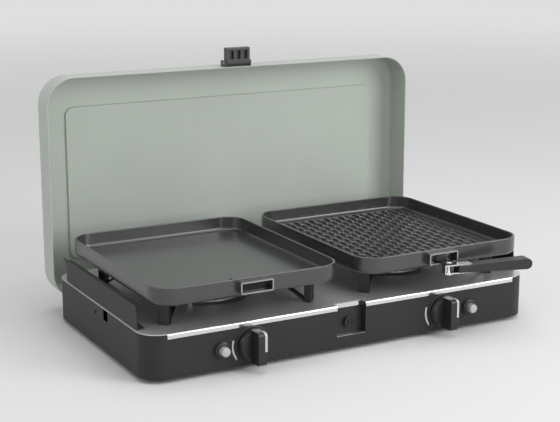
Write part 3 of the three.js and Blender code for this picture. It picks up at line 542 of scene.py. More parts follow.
finishes = {
    "charcoalCoat": {"dark": (0.016, 0.016, 0.017), "light": (0.023, 0.023, 0.024), "rough": 0.5,
                     "grainScale": 1400.0, "speckle": 0.35, "bump": 0.35, "bumpDepth": 0.12,
                     "specular": 0.35, "edgeColor": (0.12, 0.12, 0.125), "edge": 0.3, "dust": 0.03},
    "sageCoat": {"dark": (0.43, 0.475, 0.425), "light": (0.48, 0.525, 0.475), "rough": 0.42,
                 "toneScale": 4.0, "grainScale": 1200.0, "speckle": 0.12, "bump": 0.15, "specular": 0.45,
                 "edgeColor": (0.62, 0.67, 0.62), "edge": 0.5, "dust": 0.03, "scratch": 0.04},
    # black enamel, also used as painted shade on the handle's tongue
    "blackEnamelAndShade": {"dark": (0.007, 0.007, 0.0075), "light": (0.014, 0.014, 0.0145), "rough": 0.42,
                    "speckle": 0.4, "bump": 0.3, "edgeColor": (0.1, 0.1, 0.1), "edge": 0.35, "dust": 0.02},
    "hobSteel": {"dark": (0.56, 0.56, 0.565), "light": (0.68, 0.68, 0.685), "rough": 0.33, "metal": 0.6,
                 "stretch": (3.0, 1100.0, 1100.0), "lineColor": (0.72, 0.72, 0.73), "lineShare": 0.45,
                 "bump": 0.12, "edgeColor": (0.75, 0.75, 0.76), "speckle": 0.05, "dust": 0.05},
    "polishedSteel": {"dark": (0.72, 0.72, 0.73), "light": (0.8, 0.8, 0.81), "rough": 0.12, "metal": 1.0,
                      "stretch": (3.0, 800.0, 800.0), "lineColor": (0.88, 0.88, 0.89), "lineShare": 0.15,
                      "bump": 0.008, "edgeColor": (0.92, 0.92, 0.93), "speckle": 0.05, "dust": 0.02},
    "zincSteel": {"dark": (0.34, 0.35, 0.36), "light": (0.5, 0.51, 0.52), "rough": 0.42, "metal": 1.0,
                  "toneScale": 60.0, "bump": 0.15, "edgeColor": (0.65, 0.66, 0.67), "speckle": 0.15},
    # its light edge colour and strong edge share paint a highlight along the rims and socket edges: painted
    # highlight, not wear
    "nonStick": {"dark": (0.028, 0.028, 0.029), "light": (0.038, 0.038, 0.04), "rough": 0.25,
                 "roughSpread": 0.06, "grainScale": 1800.0, "speckle": 0.3, "bump": 0.1, "specular": 0.75,
                 "coat": 0.3, "coatRough": 0.16,
                 "edgeColor": (0.4, 0.4, 0.41), "edge": 0.7, "dust": 0.02, "scratch": 0.05},
    # a painted highlight for the sockets' mouths
    "paintedMouthHighlight": {"dark": (0.26, 0.26, 0.265), "light": (0.36, 0.36, 0.365), "rough": 0.34, "metal": 0.6,
                "toneScale": 60.0, "bump": 0.1, "edgeColor": (0.5, 0.5, 0.5), "speckle": 0.3, "dust": 0.02},
    "brightCast": {"dark": (0.62, 0.62, 0.63), "light": (0.78, 0.78, 0.79), "rough": 0.38, "metal": 0.75,
                   "toneScale": 40.0, "bump": 0.2, "edgeColor": (0.8, 0.8, 0.81), "speckle": 0.2},
    "mouldedBlack": {"dark": (0.01, 0.01, 0.0105), "light": (0.017, 0.017, 0.018), "rough": 0.36,
                     "grainScale": 2200.0, "speckle": 0.35, "bump": 0.25, "specular": 0.5,
                     "edgeColor": (0.09, 0.09, 0.09), "edge": 0.35, "dust": 0.03},
    # its rims are drawn much lighter than its face, through the edge mask
    "latchPlastic": {"dark": (0.03, 0.03, 0.032), "light": (0.045, 0.044, 0.047), "rough": 0.34,
                     "grainScale": 2200.0, "speckle": 0.3, "bump": 0.2, "edgeColor": (0.3, 0.3, 0.31),
                     "edge": 0.8, "dust": 0.03},
    "mouldedGrey": {"dark": (0.42, 0.425, 0.43), "light": (0.5, 0.505, 0.51), "rough": 0.3,
                    "grainScale": 2200.0, "speckle": 0.15, "bump": 0.12, "edgeColor": (0.62, 0.62, 0.62),
                    "dust": 0.03},
    "blackRubber": {"dark": (0.011, 0.011, 0.011), "light": (0.02, 0.02, 0.02), "rough": 0.8,
                    "speckle": 0.4, "bump": 0.4, "edgeColor": (0.05, 0.05, 0.05), "dust": 0.15},
    "turnedBrass": {"dark": (0.42, 0.31, 0.13), "light": (0.55, 0.42, 0.19), "rough": 0.3, "metal": 1.0,
                    "toneScale": 60.0, "bump": 0.12, "edgeColor": (0.7, 0.56, 0.3)},
    "glazedCeramic": {"dark": (0.68, 0.66, 0.6), "light": (0.78, 0.76, 0.71), "rough": 0.25,
                      "bump": 0.05, "edgeColor": (0.8, 0.78, 0.74), "dust": 0.1, "coat": 0.4},
    # printed marks, and the painted highlight on the knob grips
    "printAndPaintedGlint": {"dark": (0.52, 0.52, 0.53), "light": (0.62, 0.62, 0.63), "rough": 0.35,
                    "bump": 0.05, "edgeColor": (0.7, 0.7, 0.7), "dust": 0.02},
}
paint = {name: makeFinish(name, look) for name, look in finishes.items()}
print("finishes made")


# casing, hob and feet

casingLook = {"corner": 28 * mm, "cornerSteps": 14, "flange": 9 * mm, "sheet": 1.2 * mm, "edge": 0.45 * mm,
              "recessHalf": 21 * mm, "recessDepth": 10 * mm, "recessFloor": 20 * mm,
              "recessFront": 0.3 * mm, "ledge": 0.6 * mm, "ledgeSide": 0.4 * mm,
              "ledgeFront": 0.1 * mm, "ledgeBack": 0.2 * mm, "ledgeEdge": 0.15 * mm,
              "slotHalf": 7 * mm, "slotFront": 8 * mm, "slotDrop": 10 * mm,
              "stemHole": 5 * mm, "shankHole": 7 * mm,
              "notchReach": 4 * mm, "notchFront": 35 * mm, "notchBack": 21 * mm, "notchDrop": 14 * mm,
              "sideHole": 2.5 * mm, "sideHoleBack": 6 * mm, "sideHoleDrop": 11 * mm}


def upright(centre, direction):
    return abs(direction.z) > 0.9


def addHingeSlot(side, bottom, top):
    # the gap for the lid's strap, open to the rear
    pin = middle("hinge_pin_" + side)
    half = casingLook["slotHalf"]
    return addBlock("slot", (pin.x - half, pin.y - casingLook["slotFront"], bottom),
                    (pin.x + half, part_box("casing")[1].y + spare, top + spare))


def addFrontHole(node, radius, front):
    spot = middle(node)
    return addRod("hole", radius, -spare, spare, (spot.x, front, spot.z), facingFront)


def addSideNotch(x, y, top):
    return addBlock("notch", (x - casingLook["notchReach"], y - casingLook["notchFront"],
                              top - casingLook["notchDrop"]),
                    (x + casingLook["notchReach"], y - casingLook["notchBack"], top + spare))


def makeCasing():
    low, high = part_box("casing")
    centre = (low + high) / 2
    sheet = casingLook["sheet"]
    shell = addBlock("casing_shell", low, high)
    roundEdges(shell, upright, casingLook["corner"], casingLook["cornerSteps"])
    for level in (low.z, high.z):
        pick(shell, "FACE", lambda spot, normal: abs(normal.z) > 0.9 and abs(spot.z - level) < mm)
        bpy.ops.mesh.inset(thickness=casingLook["flange"])
        bpy.ops.mesh.delete(type="FACE")
        leave()
    applyModifier(shell, "SOLIDIFY", thickness=sheet, offset=-1)
    left, right = centre.x - casingLook["recessHalf"], centre.x + casingLook["recessHalf"]
    back, floor = low.y + casingLook["recessDepth"], casingLook["recessFloor"]
    cutters = [addBlock("window", (left, low.y - spare, floor), (right, back, high.z + spare))]
    for side, x in zip(sides, (low.x, high.x)):
        slotBottom = middle("hinge_pin_" + side).z - casingLook["slotDrop"]
        sideHole = (x, centre.y + casingLook["sideHoleBack"], high.z - casingLook["sideHoleDrop"])
        cutters += [
            addHingeSlot(side, slotBottom, high.z),
            addFrontHole("valve_stem_" + side, casingLook["stemHole"], low.y),
            addFrontHole("igniter_button_" + side, casingLook["shankHole"], low.y),
            addSideNotch(x, centre.y, high.z),
            addRod("hole", casingLook["sideHole"], -spare, spare, sideHole, facingRight, 24),
        ]
    carve(shell, *cutters)
    pocket = addBlock("pocket", (left - sheet, low.y + casingLook["recessFront"], floor - sheet),
                      (right + sheet, back + sheet, high.z))
    carve(pocket, addBlock("hollow", (left, low.y - spare, floor), (right, back, high.z + spare)))
    merge(shell, pocket)
    soften(shell, casingLook["edge"], 2, 34)
    place(shell, "charcoalCoat", "casing")
    ledge = addBlock("recess_ledge",
                     (left + casingLook["ledgeSide"], low.y + casingLook["ledgeFront"], floor),
                     (right - casingLook["ledgeSide"], back - casingLook["ledgeBack"],
                      floor + casingLook["ledge"]))
    soften(ledge, casingLook["ledgeEdge"])
    follow(ledge, "zincSteel", "casing")


hobLook = {"sheet": mm, "corner": 28 * mm, "cornerSteps": 14, "lip": 6.5 * mm, "lipThick": 3.4 * mm,
           "lipRound": 2.2 * mm, "lipProud": 0.02 * mm, "backLip": 1.3 * mm, "backLipGap": 0.3 * mm,
           "dishRadius": 62 * mm, "dishDepth": 4 * mm, "dishSlope": 10 * mm, "dishSteps": 8,
           "dishHole": 28 * mm, "dishLap": 0.4 * mm, "sparkHole": 3.3 * mm}


def makeHob():
    low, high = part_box("hob_top")
    casingLow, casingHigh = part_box("casing")
    corner, lipTop = hobLook["corner"], high.z + hobLook["lipProud"]
    hob = addBlock("hob_sheet", (casingLow.x, casingLow.y, high.z - hobLook["sheet"]),
                   (casingHigh.x, casingHigh.y, high.z))
    roundEdges(hob, upright, corner, hobLook["cornerSteps"])
    lip = addBlock("lip", (casingLow.x + corner, low.y, high.z - hobLook["lip"]),
                   (casingHigh.x - corner, low.y + hobLook["lipThick"], lipTop))
    roundEdges(lip, lambda spot, way: abs(way.x) > 0.9 and spot.y < low.y + mm and spot.z > high.z - mm,
               hobLook["lipRound"], 5)
    centre = (casingLow.x + casingHigh.x) / 2
    left, right = centre - casingLook["recessHalf"], centre + casingLook["recessHalf"]
    back = casingLow.y + casingLook["recessDepth"]
    hobNotch, lipNotch = (addBlock("notch", (left, low.y - spare, low.z - spare),
                                   (right, back - hobLook["backLip"], high.z + spare)) for _ in range(2))
    cutters, dishes = [hobNotch], []
    for side in sides:
        burner = middle("burner_body_" + side)
        well = addRod("well", hobLook["dishRadius"], -spare, spare, (burner.x, burner.y, high.z), steps=72)
        cutters += [well, addHingeSlot(side, high.z - spare, high.z)]
        dishes.append(makeDish(burner, high.z, middle("electrode_" + side)))
    carve(hob, *cutters)
    carve(lip, lipNotch)
    gap = hobLook["backLipGap"]
    backLip = addBlock("backLip", (left + gap, back - hobLook["backLip"], high.z - hobLook["lip"]),
                       (right - gap, back - gap, lipTop))
    merge(hob, *dishes)
    soften(hob, 0.3 * mm, 2, 30)
    place(hob, "hobSteel", "hob_top")
    merge(lip, backLip)
    lip.name = "hob_lip"
    soften(lip, 0.25 * mm, 2, 30)
    follow(lip, "polishedSteel", "hob_top")


def makeDish(burner, top, electrode):
    radius, slope, sheet, hole = (hobLook[key] for key in ("dishRadius", "dishSlope", "sheet", "dishHole"))
    depth, steps, lap = hobLook["dishDepth"], hobLook["dishSteps"], radius + hobLook["dishLap"]
    low = top - depth
    # a soft S from the rim down to the floor, then back under it
    fall = [(radius - slope * n / steps, (1 - math.cos(math.pi * n / steps)) / 2 * depth)
            for n in range(steps + 1)]
    profile = [(lap, top - sheet), (lap, top)]
    profile += [(reach, top - drop) for reach, drop in fall]
    profile += [(radius - slope - 14 * mm, low), (hole + 3 * mm, low), (hole + mm, low - 0.3 * mm),
                (hole, low - sheet)]
    profile += [(reach, top - sheet - drop) for reach, drop in reversed(fall)]
    profile.append(profile[0])
    dish = addTurned("dish", profile, (burner.x, burner.y, 0), steps=72)
    return carve(dish, addRod("hole", hobLook["sparkHole"], -spare, spare,
                              (electrode.x, electrode.y, low), steps=24))


footLook = {"curve": 1.6 * mm, "height": 6.2 * mm, "neck": 3 * mm, "barb": 4.4 * mm, "barbRise": 3.4 * mm,
            "tip": 2.4 * mm}


def makeFeet():
    height, neck, rise, curve = (footLook[key] for key in ("height", "neck", "barbRise", "curve"))
    for corner in ("front_left", "front_right", "rear_left", "rear_right"):
        node = "foot_" + corner
        low, high, spot, radius = measure(node)
        foot = addTurned("rubber_foot_" + corner, [
            (0, 0), (radius - curve, 0), (radius - 0.5 * mm, 0.5 * mm), (radius, curve),
            (radius, height - curve), (radius - 0.6 * mm, height), (neck, height), (neck, high.z - rise),
            (footLook["barb"], high.z - rise + 0.1 * mm), (footLook["tip"], high.z), (0, high.z)],
            (spot.x, spot.y, 0), steps=40)
        soften(foot, 0)
        place(foot, "blackRubber", node)


keeperLook = {"radius": 6.5 * mm, "neck": 5 * mm, "head": 1.5 * mm, "headRound": 0.7 * mm,
              "moonOut": 4.9 * mm, "moonDepth": 1.1 * mm, "moonBar": 1.1 * mm}


def makeKeeper():
    low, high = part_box("latch_keeper")
    spot = (low + high) / 2
    base, reach = (spot.x, high.y, spot.z), high.y - low.y
    radius, neck, bar = keeperLook["radius"], keeperLook["neck"], keeperLook["moonBar"]
    head, headRound = reach - keeperLook["head"], keeperLook["headRound"]
    keeper = addTurned("keeper_stud", [
        (0, 0), (neck, 0), (neck, head - 0.1 * mm), (radius, head), (radius, reach - headRound),
        (radius - headRound, reach), (0, reach)], base, facingFront, 48)
    # two half moons are sunk into its face, with a bar left between them
    moons = addRod("moons", keeperLook["moonOut"], reach - keeperLook["moonDepth"], reach + mm,
                   base, facingFront)
    carve(moons, addBlock("bar", (spot.x - bar, low.y - 3 * mm, spot.z - radius),
                          (spot.x + bar, high.y, spot.z + radius)))
    carve(keeper, moons)
    soften(keeper, 0.2 * mm, 2, 30)
    place(keeper, "blackEnamelAndShade", "latch_keeper")


makeCasing()
makeHob()
makeFeet()
makeKeeper()
print("base made")


# lid

lidLook = {"corner": 39 * mm, "cornerSteps": 16, "fillet": 9 * mm, "filletSteps": 7, "sheet": 1.2 * mm,
           "depth": 44.4 * mm, "panelSide": 39 * mm, "panelEnd": 46 * mm, "panelCorner": 12 * mm,
           "panelRise": 3 * mm, "panelStep": 1.2 * mm, "edge": 0.35 * mm}


def makeLid():
    low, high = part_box("lid")
    back = low.y + lidLook["depth"]
    centre = (low + high) / 2
    lid = addBlock("lid_shell", low, (high.x, back, high.z))
    roundEdges(lid, lambda spot, way: abs(way.y) > 0.9, lidLook["corner"], lidLook["cornerSteps"])
    pick(lid, "FACE", lambda spot, normal: normal.y < -0.9)
    bpy.ops.mesh.delete(type="ONLY_FACE")
    leave()
    roundEdges(lid, lambda spot, way: abs(way.y) < 0.1 and spot.y > back - mm, lidLook["fillet"],
               lidLook["filletSteps"])
    makePanel(lid, back, centre, (high - low) / 2)
    applyModifier(lid, "SOLIDIFY", thickness=lidLook["sheet"], offset=-1)
    soften(lid, lidLook["edge"], 2, 40)
    place(lid, "sageCoat", "lid")


def makePanel(lid, back, centre, half):
    # the pressed panel: inset until its corners are small enough, then its sides drawn in
    def onBack(spot, normal):
        return normal.y > 0.99 and spot.y > back - near

    def onPanel(spot, normal):
        return onBack(spot, normal) and abs(spot.x - centre.x) < mm and abs(spot.z - centre.z) < mm

    inset = lidLook["corner"] - lidLook["fillet"] - lidLook["panelCorner"]
    margin = inset + lidLook["fillet"]
    pick(lid, "FACE", onBack)
    bpy.ops.mesh.inset(thickness=inset)
    leave()
    for signX in (-1, 1):
        for signZ in (-1, 1):
            pick(lid, "VERT", lambda spot, normal: spot.y > back - near
                 and 0 < (spot.x - centre.x) * signX < half.x - margin + near
                 and 0 < (spot.z - centre.z) * signZ < half.z - margin + near)
            bpy.ops.transform.translate(value=(signX * (margin - lidLook["panelSide"]), 0,
                                               signZ * (margin - lidLook["panelEnd"])))
            leave()
    pick(lid, "FACE", onPanel)
    bpy.ops.mesh.inset(thickness=lidLook["panelStep"], depth=-lidLook["panelRise"])
    leave()


def makeLatch():
    placeRefined("latch_lever", "latch", "latchPlastic", 0.7 * mm, 30)
    placeRefined("latch_ears", "latch_bracket", "latchPlastic", 0.4 * mm)
    placeRefined("latch_pivot", "latch_pin", "zincSteel", 0.2 * mm)


hingePieces = {
    # node: name, finish, rounding
    "lid_arm": ("hinge_arm", "zincSteel", 0.4 * mm),
    "hinge_bracket": ("hinge_ears", "zincSteel", 0.3 * mm),
    "hinge_pin": ("hinge_rivet", "zincSteel", 0.3 * mm),
}
rivetLook = {"radius": 2.6 * mm, "rise": 1.5 * mm, "apart": 18 * mm, "fromEdge": 7 * mm}


def makeHinges():
    placePairs(hingePieces)
    radius, rise, half = rivetLook["radius"], rivetLook["rise"], rivetLook["apart"] / 2
    head = [(0, 0), (radius, 0), (radius - 0.1 * mm, 0.7 * mm), (radius - 0.9 * mm, 1.3 * mm), (0, rise)]
    for side in sides:
        low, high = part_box("lid_arm_" + side)
        x, y = (low.x + high.x) / 2, high.y - rivetLook["fromEdge"]
        rivets = merge(*(addTurned("lid_rivet", head, (x + offset, y, high.z), steps=24)
                         for offset in (-half, half)))
        rivets.name = "hinge_arm_rivets_" + side
        soften(rivets, 0)
        follow(rivets, "zincSteel", "lid_arm_" + side)


makeLid()
makeLatch()
makeHinges()
print("lid made")


# plates and handle

plateLook = {"corner": 31 * mm, "cornerSteps": 12, "wall": 3 * mm, "floor": 4 * mm,
             "outerFillet": 6 * mm, "innerFillet": 4 * mm, "rimRound": 0.9 * mm,
             "drainRadius": 2.5 * mm, "drainInset": 63 * mm}
socketLook = {"half": 22 * mm, "height": 15 * mm, "reach": 9 * mm, "root": 2 * mm, "wall": 1.8 * mm,
              "drop": 2.5 * mm, "corner": 1.4 * mm, "edge": 0.35 * mm}
ribLook = {"pitch": 12.4 * mm, "count": 18, "endGap": 17 * mm, "width": 4.5 * mm, "crest": 2.2 * mm,
           "crestRound": 0.6 * mm, "endSlope": 0.8 * mm, "base": 1.7 * mm, "height": 3 * mm,
           "sunk": 0.3 * mm, "beadPitch": 21 * mm, "beadLength": 15 * mm, "beadStart": mm,
           "beadSlim": 0.4 * mm}


def roundLevel(pan, level, radius, steps):
    # every edge that lies flat at this height
    roundEdges(pan, lambda spot, way: abs(way.z) < 0.1 and abs(spot.z - level) < near, radius, steps)


def makePan(name, low, high, socketMiddle):
    pan = addBlock(name, (low.x, low.y + socketLook["reach"], low.z), high)
    roundEdges(pan, upright, plateLook["corner"], plateLook["cornerSteps"])
    pick(pan, "FACE", lambda spot, normal: normal.z > 0.9)
    bpy.ops.mesh.inset(thickness=plateLook["wall"])
    sink = plateLook["floor"] - (high.z - low.z)
    bpy.ops.mesh.extrude_region_move(TRANSFORM_OT_translate={"value": (0, 0, sink)})
    leave()
    roundLevel(pan, low.z + plateLook["floor"], plateLook["innerFillet"], 5)
    roundLevel(pan, low.z, plateLook["outerFillet"], 5)
    roundLevel(pan, high.z, plateLook["rimRound"], 3)
    return merge(pan, makeSocket(socketMiddle, low.y, high.z - socketLook["drop"]))


def makeSocket(x, front, top):
    # the flat mouth for the handle's tongue, on the plate's front wall
    half, reach = socketLook["half"], socketLook["reach"]
    socket = addBlock("socket", (x - half, front, top - socketLook["height"]),
                      (x + half, front + reach + socketLook["root"], top))
    roundEdges(socket, lambda spot, way: abs(way.y) > 0.9, socketLook["corner"], 3)
    pick(socket, "FACE", lambda spot, normal: normal.y < -0.9)
    bpy.ops.mesh.inset(thickness=socketLook["wall"])
    bpy.ops.mesh.extrude_region_move(TRANSFORM_OT_translate={"value": (0, reach, 0)})
    leave()
    return soften(socket, socketLook["edge"], 2, 40)


def paintMouthHighlight(pan, front):
    # the socket's mouth is painted lighter: a painted highlight standing in for the light its front edges
    # catch
    pan.data.materials.append(paint["paintedMouthHighlight"])
    pick(pan, "FACE", lambda spot, normal: spot.y < front + 0.5 * mm)
    pan.active_material_index = 1
    bpy.ops.object.material_slot_assign()
    leave()


def makeFlatPlate():
    low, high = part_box("flat_plate")
    centre = (low + high) / 2
    pan = makePan("flat_pan", low, high, centre.x)
    drainY = low.y + socketLook["reach"] + plateLook["drainInset"]
    carve(pan, addRod("drain", plateLook["drainRadius"], -spare, spare,
                      (centre.x, drainY, low.z + plateLook["floor"]), steps=32))
    soften(pan, 0)
    place(pan, "nonStick", "flat_plate")
    paintMouthHighlight(pan, low.y)


def makeRibbedPlate():
    low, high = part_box("ribbed_plate")
    centre = (low + high) / 2
    pan = makePan("ribbed_pan", low, high, middle("handle_tongue").x)
    count, sunk, pitch, length = (ribLook[key] for key in ("count", "sunk", "beadPitch", "beadLength"))
    front = low.y + socketLook["reach"] + ribLook["endGap"]
    back = high.y - ribLook["endGap"]
    level = low.z + plateLook["floor"] - sunk
    ribs = []
    for n in range(count):
        x = centre.x + (n - (count - 1) / 2) * ribLook["pitch"]
        ribs.append(addRib("rib", x, front, back, level, ribLook["width"], ribLook["base"] + sunk))
        # beads stand on each rib, those of every second one half a pitch on
        start = front + ribLook["beadStart"] + (pitch / 2 if n % 2 else 0)
        while start + length < back:
            ribs.append(addRib("bead", x, start, start + length, level,
                               ribLook["width"] - ribLook["beadSlim"], ribLook["height"] + sunk))
            start += pitch
    merge(pan, *ribs)
    soften(pan, 0, angle=38)
    place(pan, "nonStick", "ribbed_plate")
    paintMouthHighlight(pan, low.y)


def addRib(name, x, front, back, level, width, height):
    rib = addBlock(name, (x - width / 2, front, level), (x + width / 2, back, level + height))
    pick(rib, "FACE", lambda spot, normal: normal.z > 0.9)
    across, along = ribLook["crest"] / width, 1 - 2 * ribLook["endSlope"] / (back - front)
    bpy.ops.transform.resize(value=(across, along, 1), center_override=(x, (front + back) / 2, level))
    leave()
    return roundEdges(rib, lambda spot, way: spot.z > level + height - 2 * near, ribLook["crestRound"], 2)


def makeHandle():
    # the tongue is bright steel; its black finish is painted shade, standing in for the shadow inside the
    # socket
    placeRefined("tongue_strip", "handle_tongue", "blackEnamelAndShade", 0.3 * mm)
    placeRefined("tongue_rivet", "handle_pin", "polishedSteel", 0.3 * mm)
    placeRefined("clip_strip", "handle_clip", "polishedSteel", 0.3 * mm)
    placeRefined("handle_moulding", "handle_grip", "mouldedBlack", 1.6 * mm, 40)


makeFlatPlate()
makeRibbedPlate()
makeHandle()
print("plates and handle made")


# burners, supports and shields

burnerLook = {"tube": 14 * mm, "bowl": 24 * mm, "seat": 36.5 * mm, "skirtRise": 3 * mm, "edge": 0.2 * mm,
              "ports": 44, "portWidth": 1.3 * mm, "portDepth": 5 * mm, "portHeight": 2.2 * mm}
supportPieces = {
    # node: name, finish, rounding
    "pan_support": ("support_cross", "blackEnamelAndShade", 0.7 * mm),
    "side_shield": ("shield_sheet", "charcoalCoat", 0.3 * mm),
    "electrode": ("spark_rod", "glazedCeramic", 0.2 * mm),
}


def makeBurner(side):
    low, high, spot, radius = measure("burner_body_" + side)
    tube, bowl, seat = (burnerLook[key] for key in ("tube", "bowl", "seat"))
    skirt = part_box("hob_top")[1].z + burnerLook["skirtRise"]
    body = addTurned("burner_ring_" + side, [
        (0, low.z), (tube, low.z), (bowl, skirt - 8.3 * mm), (bowl, skirt - 6.6 * mm),
        (radius - 3 * mm, skirt - 3.6 * mm), (radius - 0.6 * mm, skirt - 2.8 * mm),
        (radius, skirt - 2 * mm), (radius, skirt - 0.9 * mm), (radius - 0.7 * mm, skirt - 0.2 * mm),
        (radius - 2 * mm, skirt), (seat, high.z - 1.2 * mm), (seat - 1.5 * mm, high.z), (0, high.z)],
        (spot.x, spot.y, 0), steps=80)
    soften(body, burnerLook["edge"])
    place(body, "brightCast", "burner_body_" + side)


def makeCap(side):
    low, high, spot, radius = measure("burner_cap_" + side)
    top = high.z
    cap = addTurned("burner_lid_" + side, [
        (0, low.z), (radius - 2.2 * mm, low.z), (radius - 0.8 * mm, low.z + 0.4 * mm),
        (radius, low.z + 1.3 * mm), (radius, top - 2.2 * mm), (radius - 1.2 * mm, top - 1.2 * mm),
        (radius - 4 * mm, top - 0.6 * mm), (radius * 0.6, top), (radius * 0.57, top - 0.5 * mm),
        (0, top - 0.5 * mm)], (spot.x, spot.y, 0), steps=88)
    half = burnerLook["portWidth"] / 2
    port = addBlock("port", (spot.x + radius - burnerLook["portDepth"], spot.y - half, low.z - mm),
                    (spot.x + radius + mm, spot.y + half, low.z + burnerLook["portHeight"]))
    ports = [port]
    for n in range(1, burnerLook["ports"]):
        twin = port.copy()
        twin.data = port.data.copy()
        bpy.context.scene.collection.objects.link(twin)
        only(twin)
        bpy.ops.object.mode_set(mode="EDIT")
        bpy.ops.mesh.select_all(action="SELECT")
        bpy.ops.transform.rotate(value=2 * math.pi * n / burnerLook["ports"], orient_axis="Z",
                                 center_override=(spot.x, spot.y, 0))
        leave()
        ports.append(twin)
    carve(cap, merge(*ports))
    soften(cap, 0)
    place(cap, "brightCast", "burner_cap_" + side)


for side in sides:
    makeBurner(side)
    makeCap(side)
placePairs(supportPieces)
print("burners and supports made")


# knobs, igniters and the gas side

knobLook = {"skirt": 8 * mm, "barHalf": 6 * mm, "barGap": 0.4 * mm, "barRound": 4.5 * mm,
            "barEdge": 1.1 * mm, "paintedGlint": 3.2 * mm, "glintStart": 3 * mm, "glintDown": 9 * mm,
            "glintEnd": 0.36 * mm, "glintProud": 0.02 * mm, "glintThick": 1.3 * mm,
            "glintInnerEnd": 1.7 * mm, "glintInnerRound": 3.2 * mm, "glintEdge": 0.25 * mm}


def makeKnob(side):
    low, high, spot, radius = measure("knob_" + side)
    skirt, half, end = knobLook["skirt"], knobLook["barHalf"], radius - knobLook["barGap"]
    knob = addTurned("knob_body_" + side, [
        (0, 0), (radius - 0.5 * mm, 0), (radius, 0.5 * mm), (radius, 3 * mm), (radius - 0.6 * mm, 4.2 * mm),
        (radius - 2.2 * mm, skirt - 0.6 * mm), (radius - 3.2 * mm, skirt), (0, skirt + 0.8 * mm)],
        (spot.x, high.y, spot.z), facingFront, 72)
    bar = addBlock("bar", (spot.x - half, low.y, spot.z - end),
                   (spot.x + half, high.y - 2 * mm, spot.z + end))
    roundEdges(bar, lambda co, way: abs(way.x) > 0.9 and co.y < low.y + mm, knobLook["barRound"], 6)
    roundEdges(bar, lambda co, way: co.y < high.y - 3 * mm and abs(co.x - spot.x) > half - mm,
               knobLook["barEdge"], 4)
    merge(knob, bar)
    soften(knob, 0)
    place(knob, "mouldedBlack", "knob_" + side)


def makeKnobPaintedGlint(side):
    # a painted highlight: a bright strip along the right edge of the grip, bent over its upper end,
    # standing in for the glint on that edge
    low, high, spot, radius = measure("knob_" + side)
    right, end = spot.x + knobLook["barHalf"], spot.z + radius
    proud, beyond = knobLook["glintProud"], 9 * mm

    def onFrontEnd(co, way):
        return abs(way.x) > 0.9 and co.y < low.y + 3 * mm and co.z > spot.z + beyond

    paintedGlint = addBlock("knob_painted_glint_" + side,
                    (right - knobLook["paintedGlint"], low.y - proud, spot.z - knobLook["glintStart"]),
                    (right + proud, low.y + knobLook["glintDown"], end - knobLook["glintEnd"]))
    roundEdges(paintedGlint, onFrontEnd, knobLook["barRound"], 6)
    inner = addBlock("inner", (spot.x - beyond, low.y + knobLook["glintThick"], spot.z - beyond),
                     (spot.x + beyond, low.y + 2 * beyond, end - knobLook["glintInnerEnd"]))
    roundEdges(inner, onFrontEnd, knobLook["glintInnerRound"], 6)
    carve(paintedGlint, inner)
    soften(paintedGlint, knobLook["glintEdge"])
    follow(paintedGlint, "printAndPaintedGlint", "knob_" + side)


bezelLook = {"bore": 6 * mm, "rim": 1.2 * mm}


def makeBezel(side):
    low, high, spot, radius = measure("knob_bezel_" + side)
    depth, bore, rim = high.y - low.y, bezelLook["bore"], bezelLook["rim"]
    bezel = addTurned("bezel_disc_" + side, [
        (bore, 0), (radius, 0), (radius, depth * 0.5), (radius - rim / 2, depth * 0.9),
        (radius - rim, depth), (bore, depth), (bore, 0)],
        (spot.x, high.y, spot.z), facingFront, 72)
    soften(bezel, 0)
    place(bezel, "mouldedBlack", "knob_bezel_" + side)


markLook = {"radius": 28 * mm, "innerRadius": 26.3 * mm, "innerX": 0.5 * mm, "innerY": 0.6 * mm,
            "thick": 0.2 * mm, "proud": 0.02 * mm, "fromMiddle": 21.5 * mm, "top": 8 * mm}


def makeFlameMark(side):
    # a tapered arc printed on the casing beside the knob: a disc less one that stands a little off centre
    knob = middle("knob_" + side)
    far, top, left = 40 * mm, markLook["top"], -markLook["fromMiddle"]
    bpy.ops.mesh.primitive_cylinder_add(vertices=96, radius=markLook["radius"], depth=markLook["thick"])
    mark = bpy.context.active_object
    mark.name = "flame_mark_" + side
    inner = addRod("inner", markLook["innerRadius"], -mm, mm, (markLook["innerX"], markLook["innerY"], 0),
                   steps=96)
    carve(mark, inner, addBlock("cut", (left, -far, -mm), (far, far, mm)),
          addBlock("cut", (-far, top, -mm), (far, far, mm)))
    mark.rotation_euler = facingFront
    mark.location = (knob.x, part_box("casing")[0].y - markLook["proud"], knob.z)
    settle(mark)
    follow(mark, "printAndPaintedGlint", "knob_bezel_" + side)


igniterLook = {"bore": 6.5 * mm, "buttonRadius": 6 * mm}


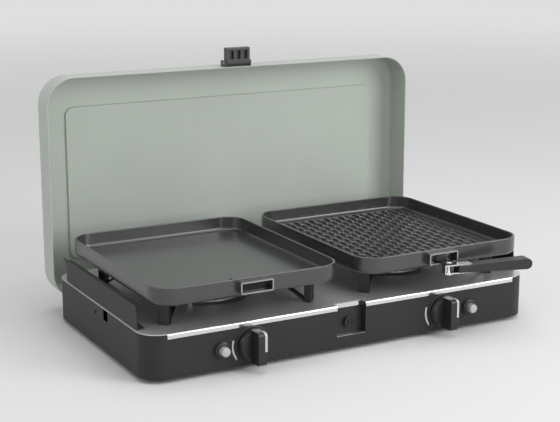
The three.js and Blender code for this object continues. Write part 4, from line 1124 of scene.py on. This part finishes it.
def makeIgniter(side):
    low, high, spot, radius = measure("igniter_collar_" + side)
    depth, bore = high.y - low.y, igniterLook["bore"]
    collar = addTurned("spark_collar_" + side, [
        (bore, 0), (radius, 0), (radius, 1.4 * mm), (radius - 0.5 * mm, 1.7 * mm),
        (radius - 0.5 * mm, 2.4 * mm), (radius - 0.1 * mm, 2.8 * mm), (radius - 0.3 * mm, 3.6 * mm),
        (radius - 1.5 * mm, depth - 0.2 * mm), (radius - 2.4 * mm, depth), (bore, depth), (bore, 0)],
        (spot.x, high.y, spot.z), facingFront, 64)
    soften(collar, 0)
    place(collar, "mouldedBlack", "igniter_collar_" + side)
    low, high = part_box("igniter_button_" + side)
    radius, depth = igniterLook["buttonRadius"], high.y - low.y
    button = addTurned("spark_button_" + side, [
        (0, 0), (radius, 0), (radius, depth - 2.6 * mm), (radius - 0.3 * mm, depth - 1.3 * mm),
        (radius - 1.1 * mm, depth - 0.5 * mm), (radius - 2.4 * mm, depth - 0.1 * mm), (0, depth)],
        (spot.x, high.y, spot.z), facingFront, 48)
    soften(button, 0)
    place(button, "mouldedGrey", "igniter_button_" + side)


innerPieces = {
    # node: name, finish
    "bottom_tray": ("tray_sheet", "zincSteel"),
    "gas_rail": ("rail_tube", "brightCast"),
    "gas_inlet": ("inlet_body", "turnedBrass"),
}
gasPieces = {
    # node: name, finish, rounding
    "valve": ("valve_body", "turnedBrass", 0.2 * mm),
    "valve_stem": ("stem_rod", "turnedBrass", 0.2 * mm),
    "jet": ("jet_body", "turnedBrass", 0.2 * mm),
    "mixer": ("mixer_tube", "zincSteel", 0.2 * mm),
    "igniter": ("spark_unit", "mouldedGrey", 0.2 * mm),
    "igniter_lead": ("spark_lead", "blackRubber", 0.2 * mm),
}

for side in sides:
    makeKnob(side)
    makeKnobPaintedGlint(side)
    makeBezel(side)
    makeFlameMark(side)
    makeIgniter(side)
for node, (name, finish) in innerPieces.items():
    placeRefined(name, node, finish, 0.3 * mm)
placePairs(gasPieces)
print("controls and gas side made")


# the view transform, then the end

bpy.context.scene.view_settings.view_transform = "Standard"
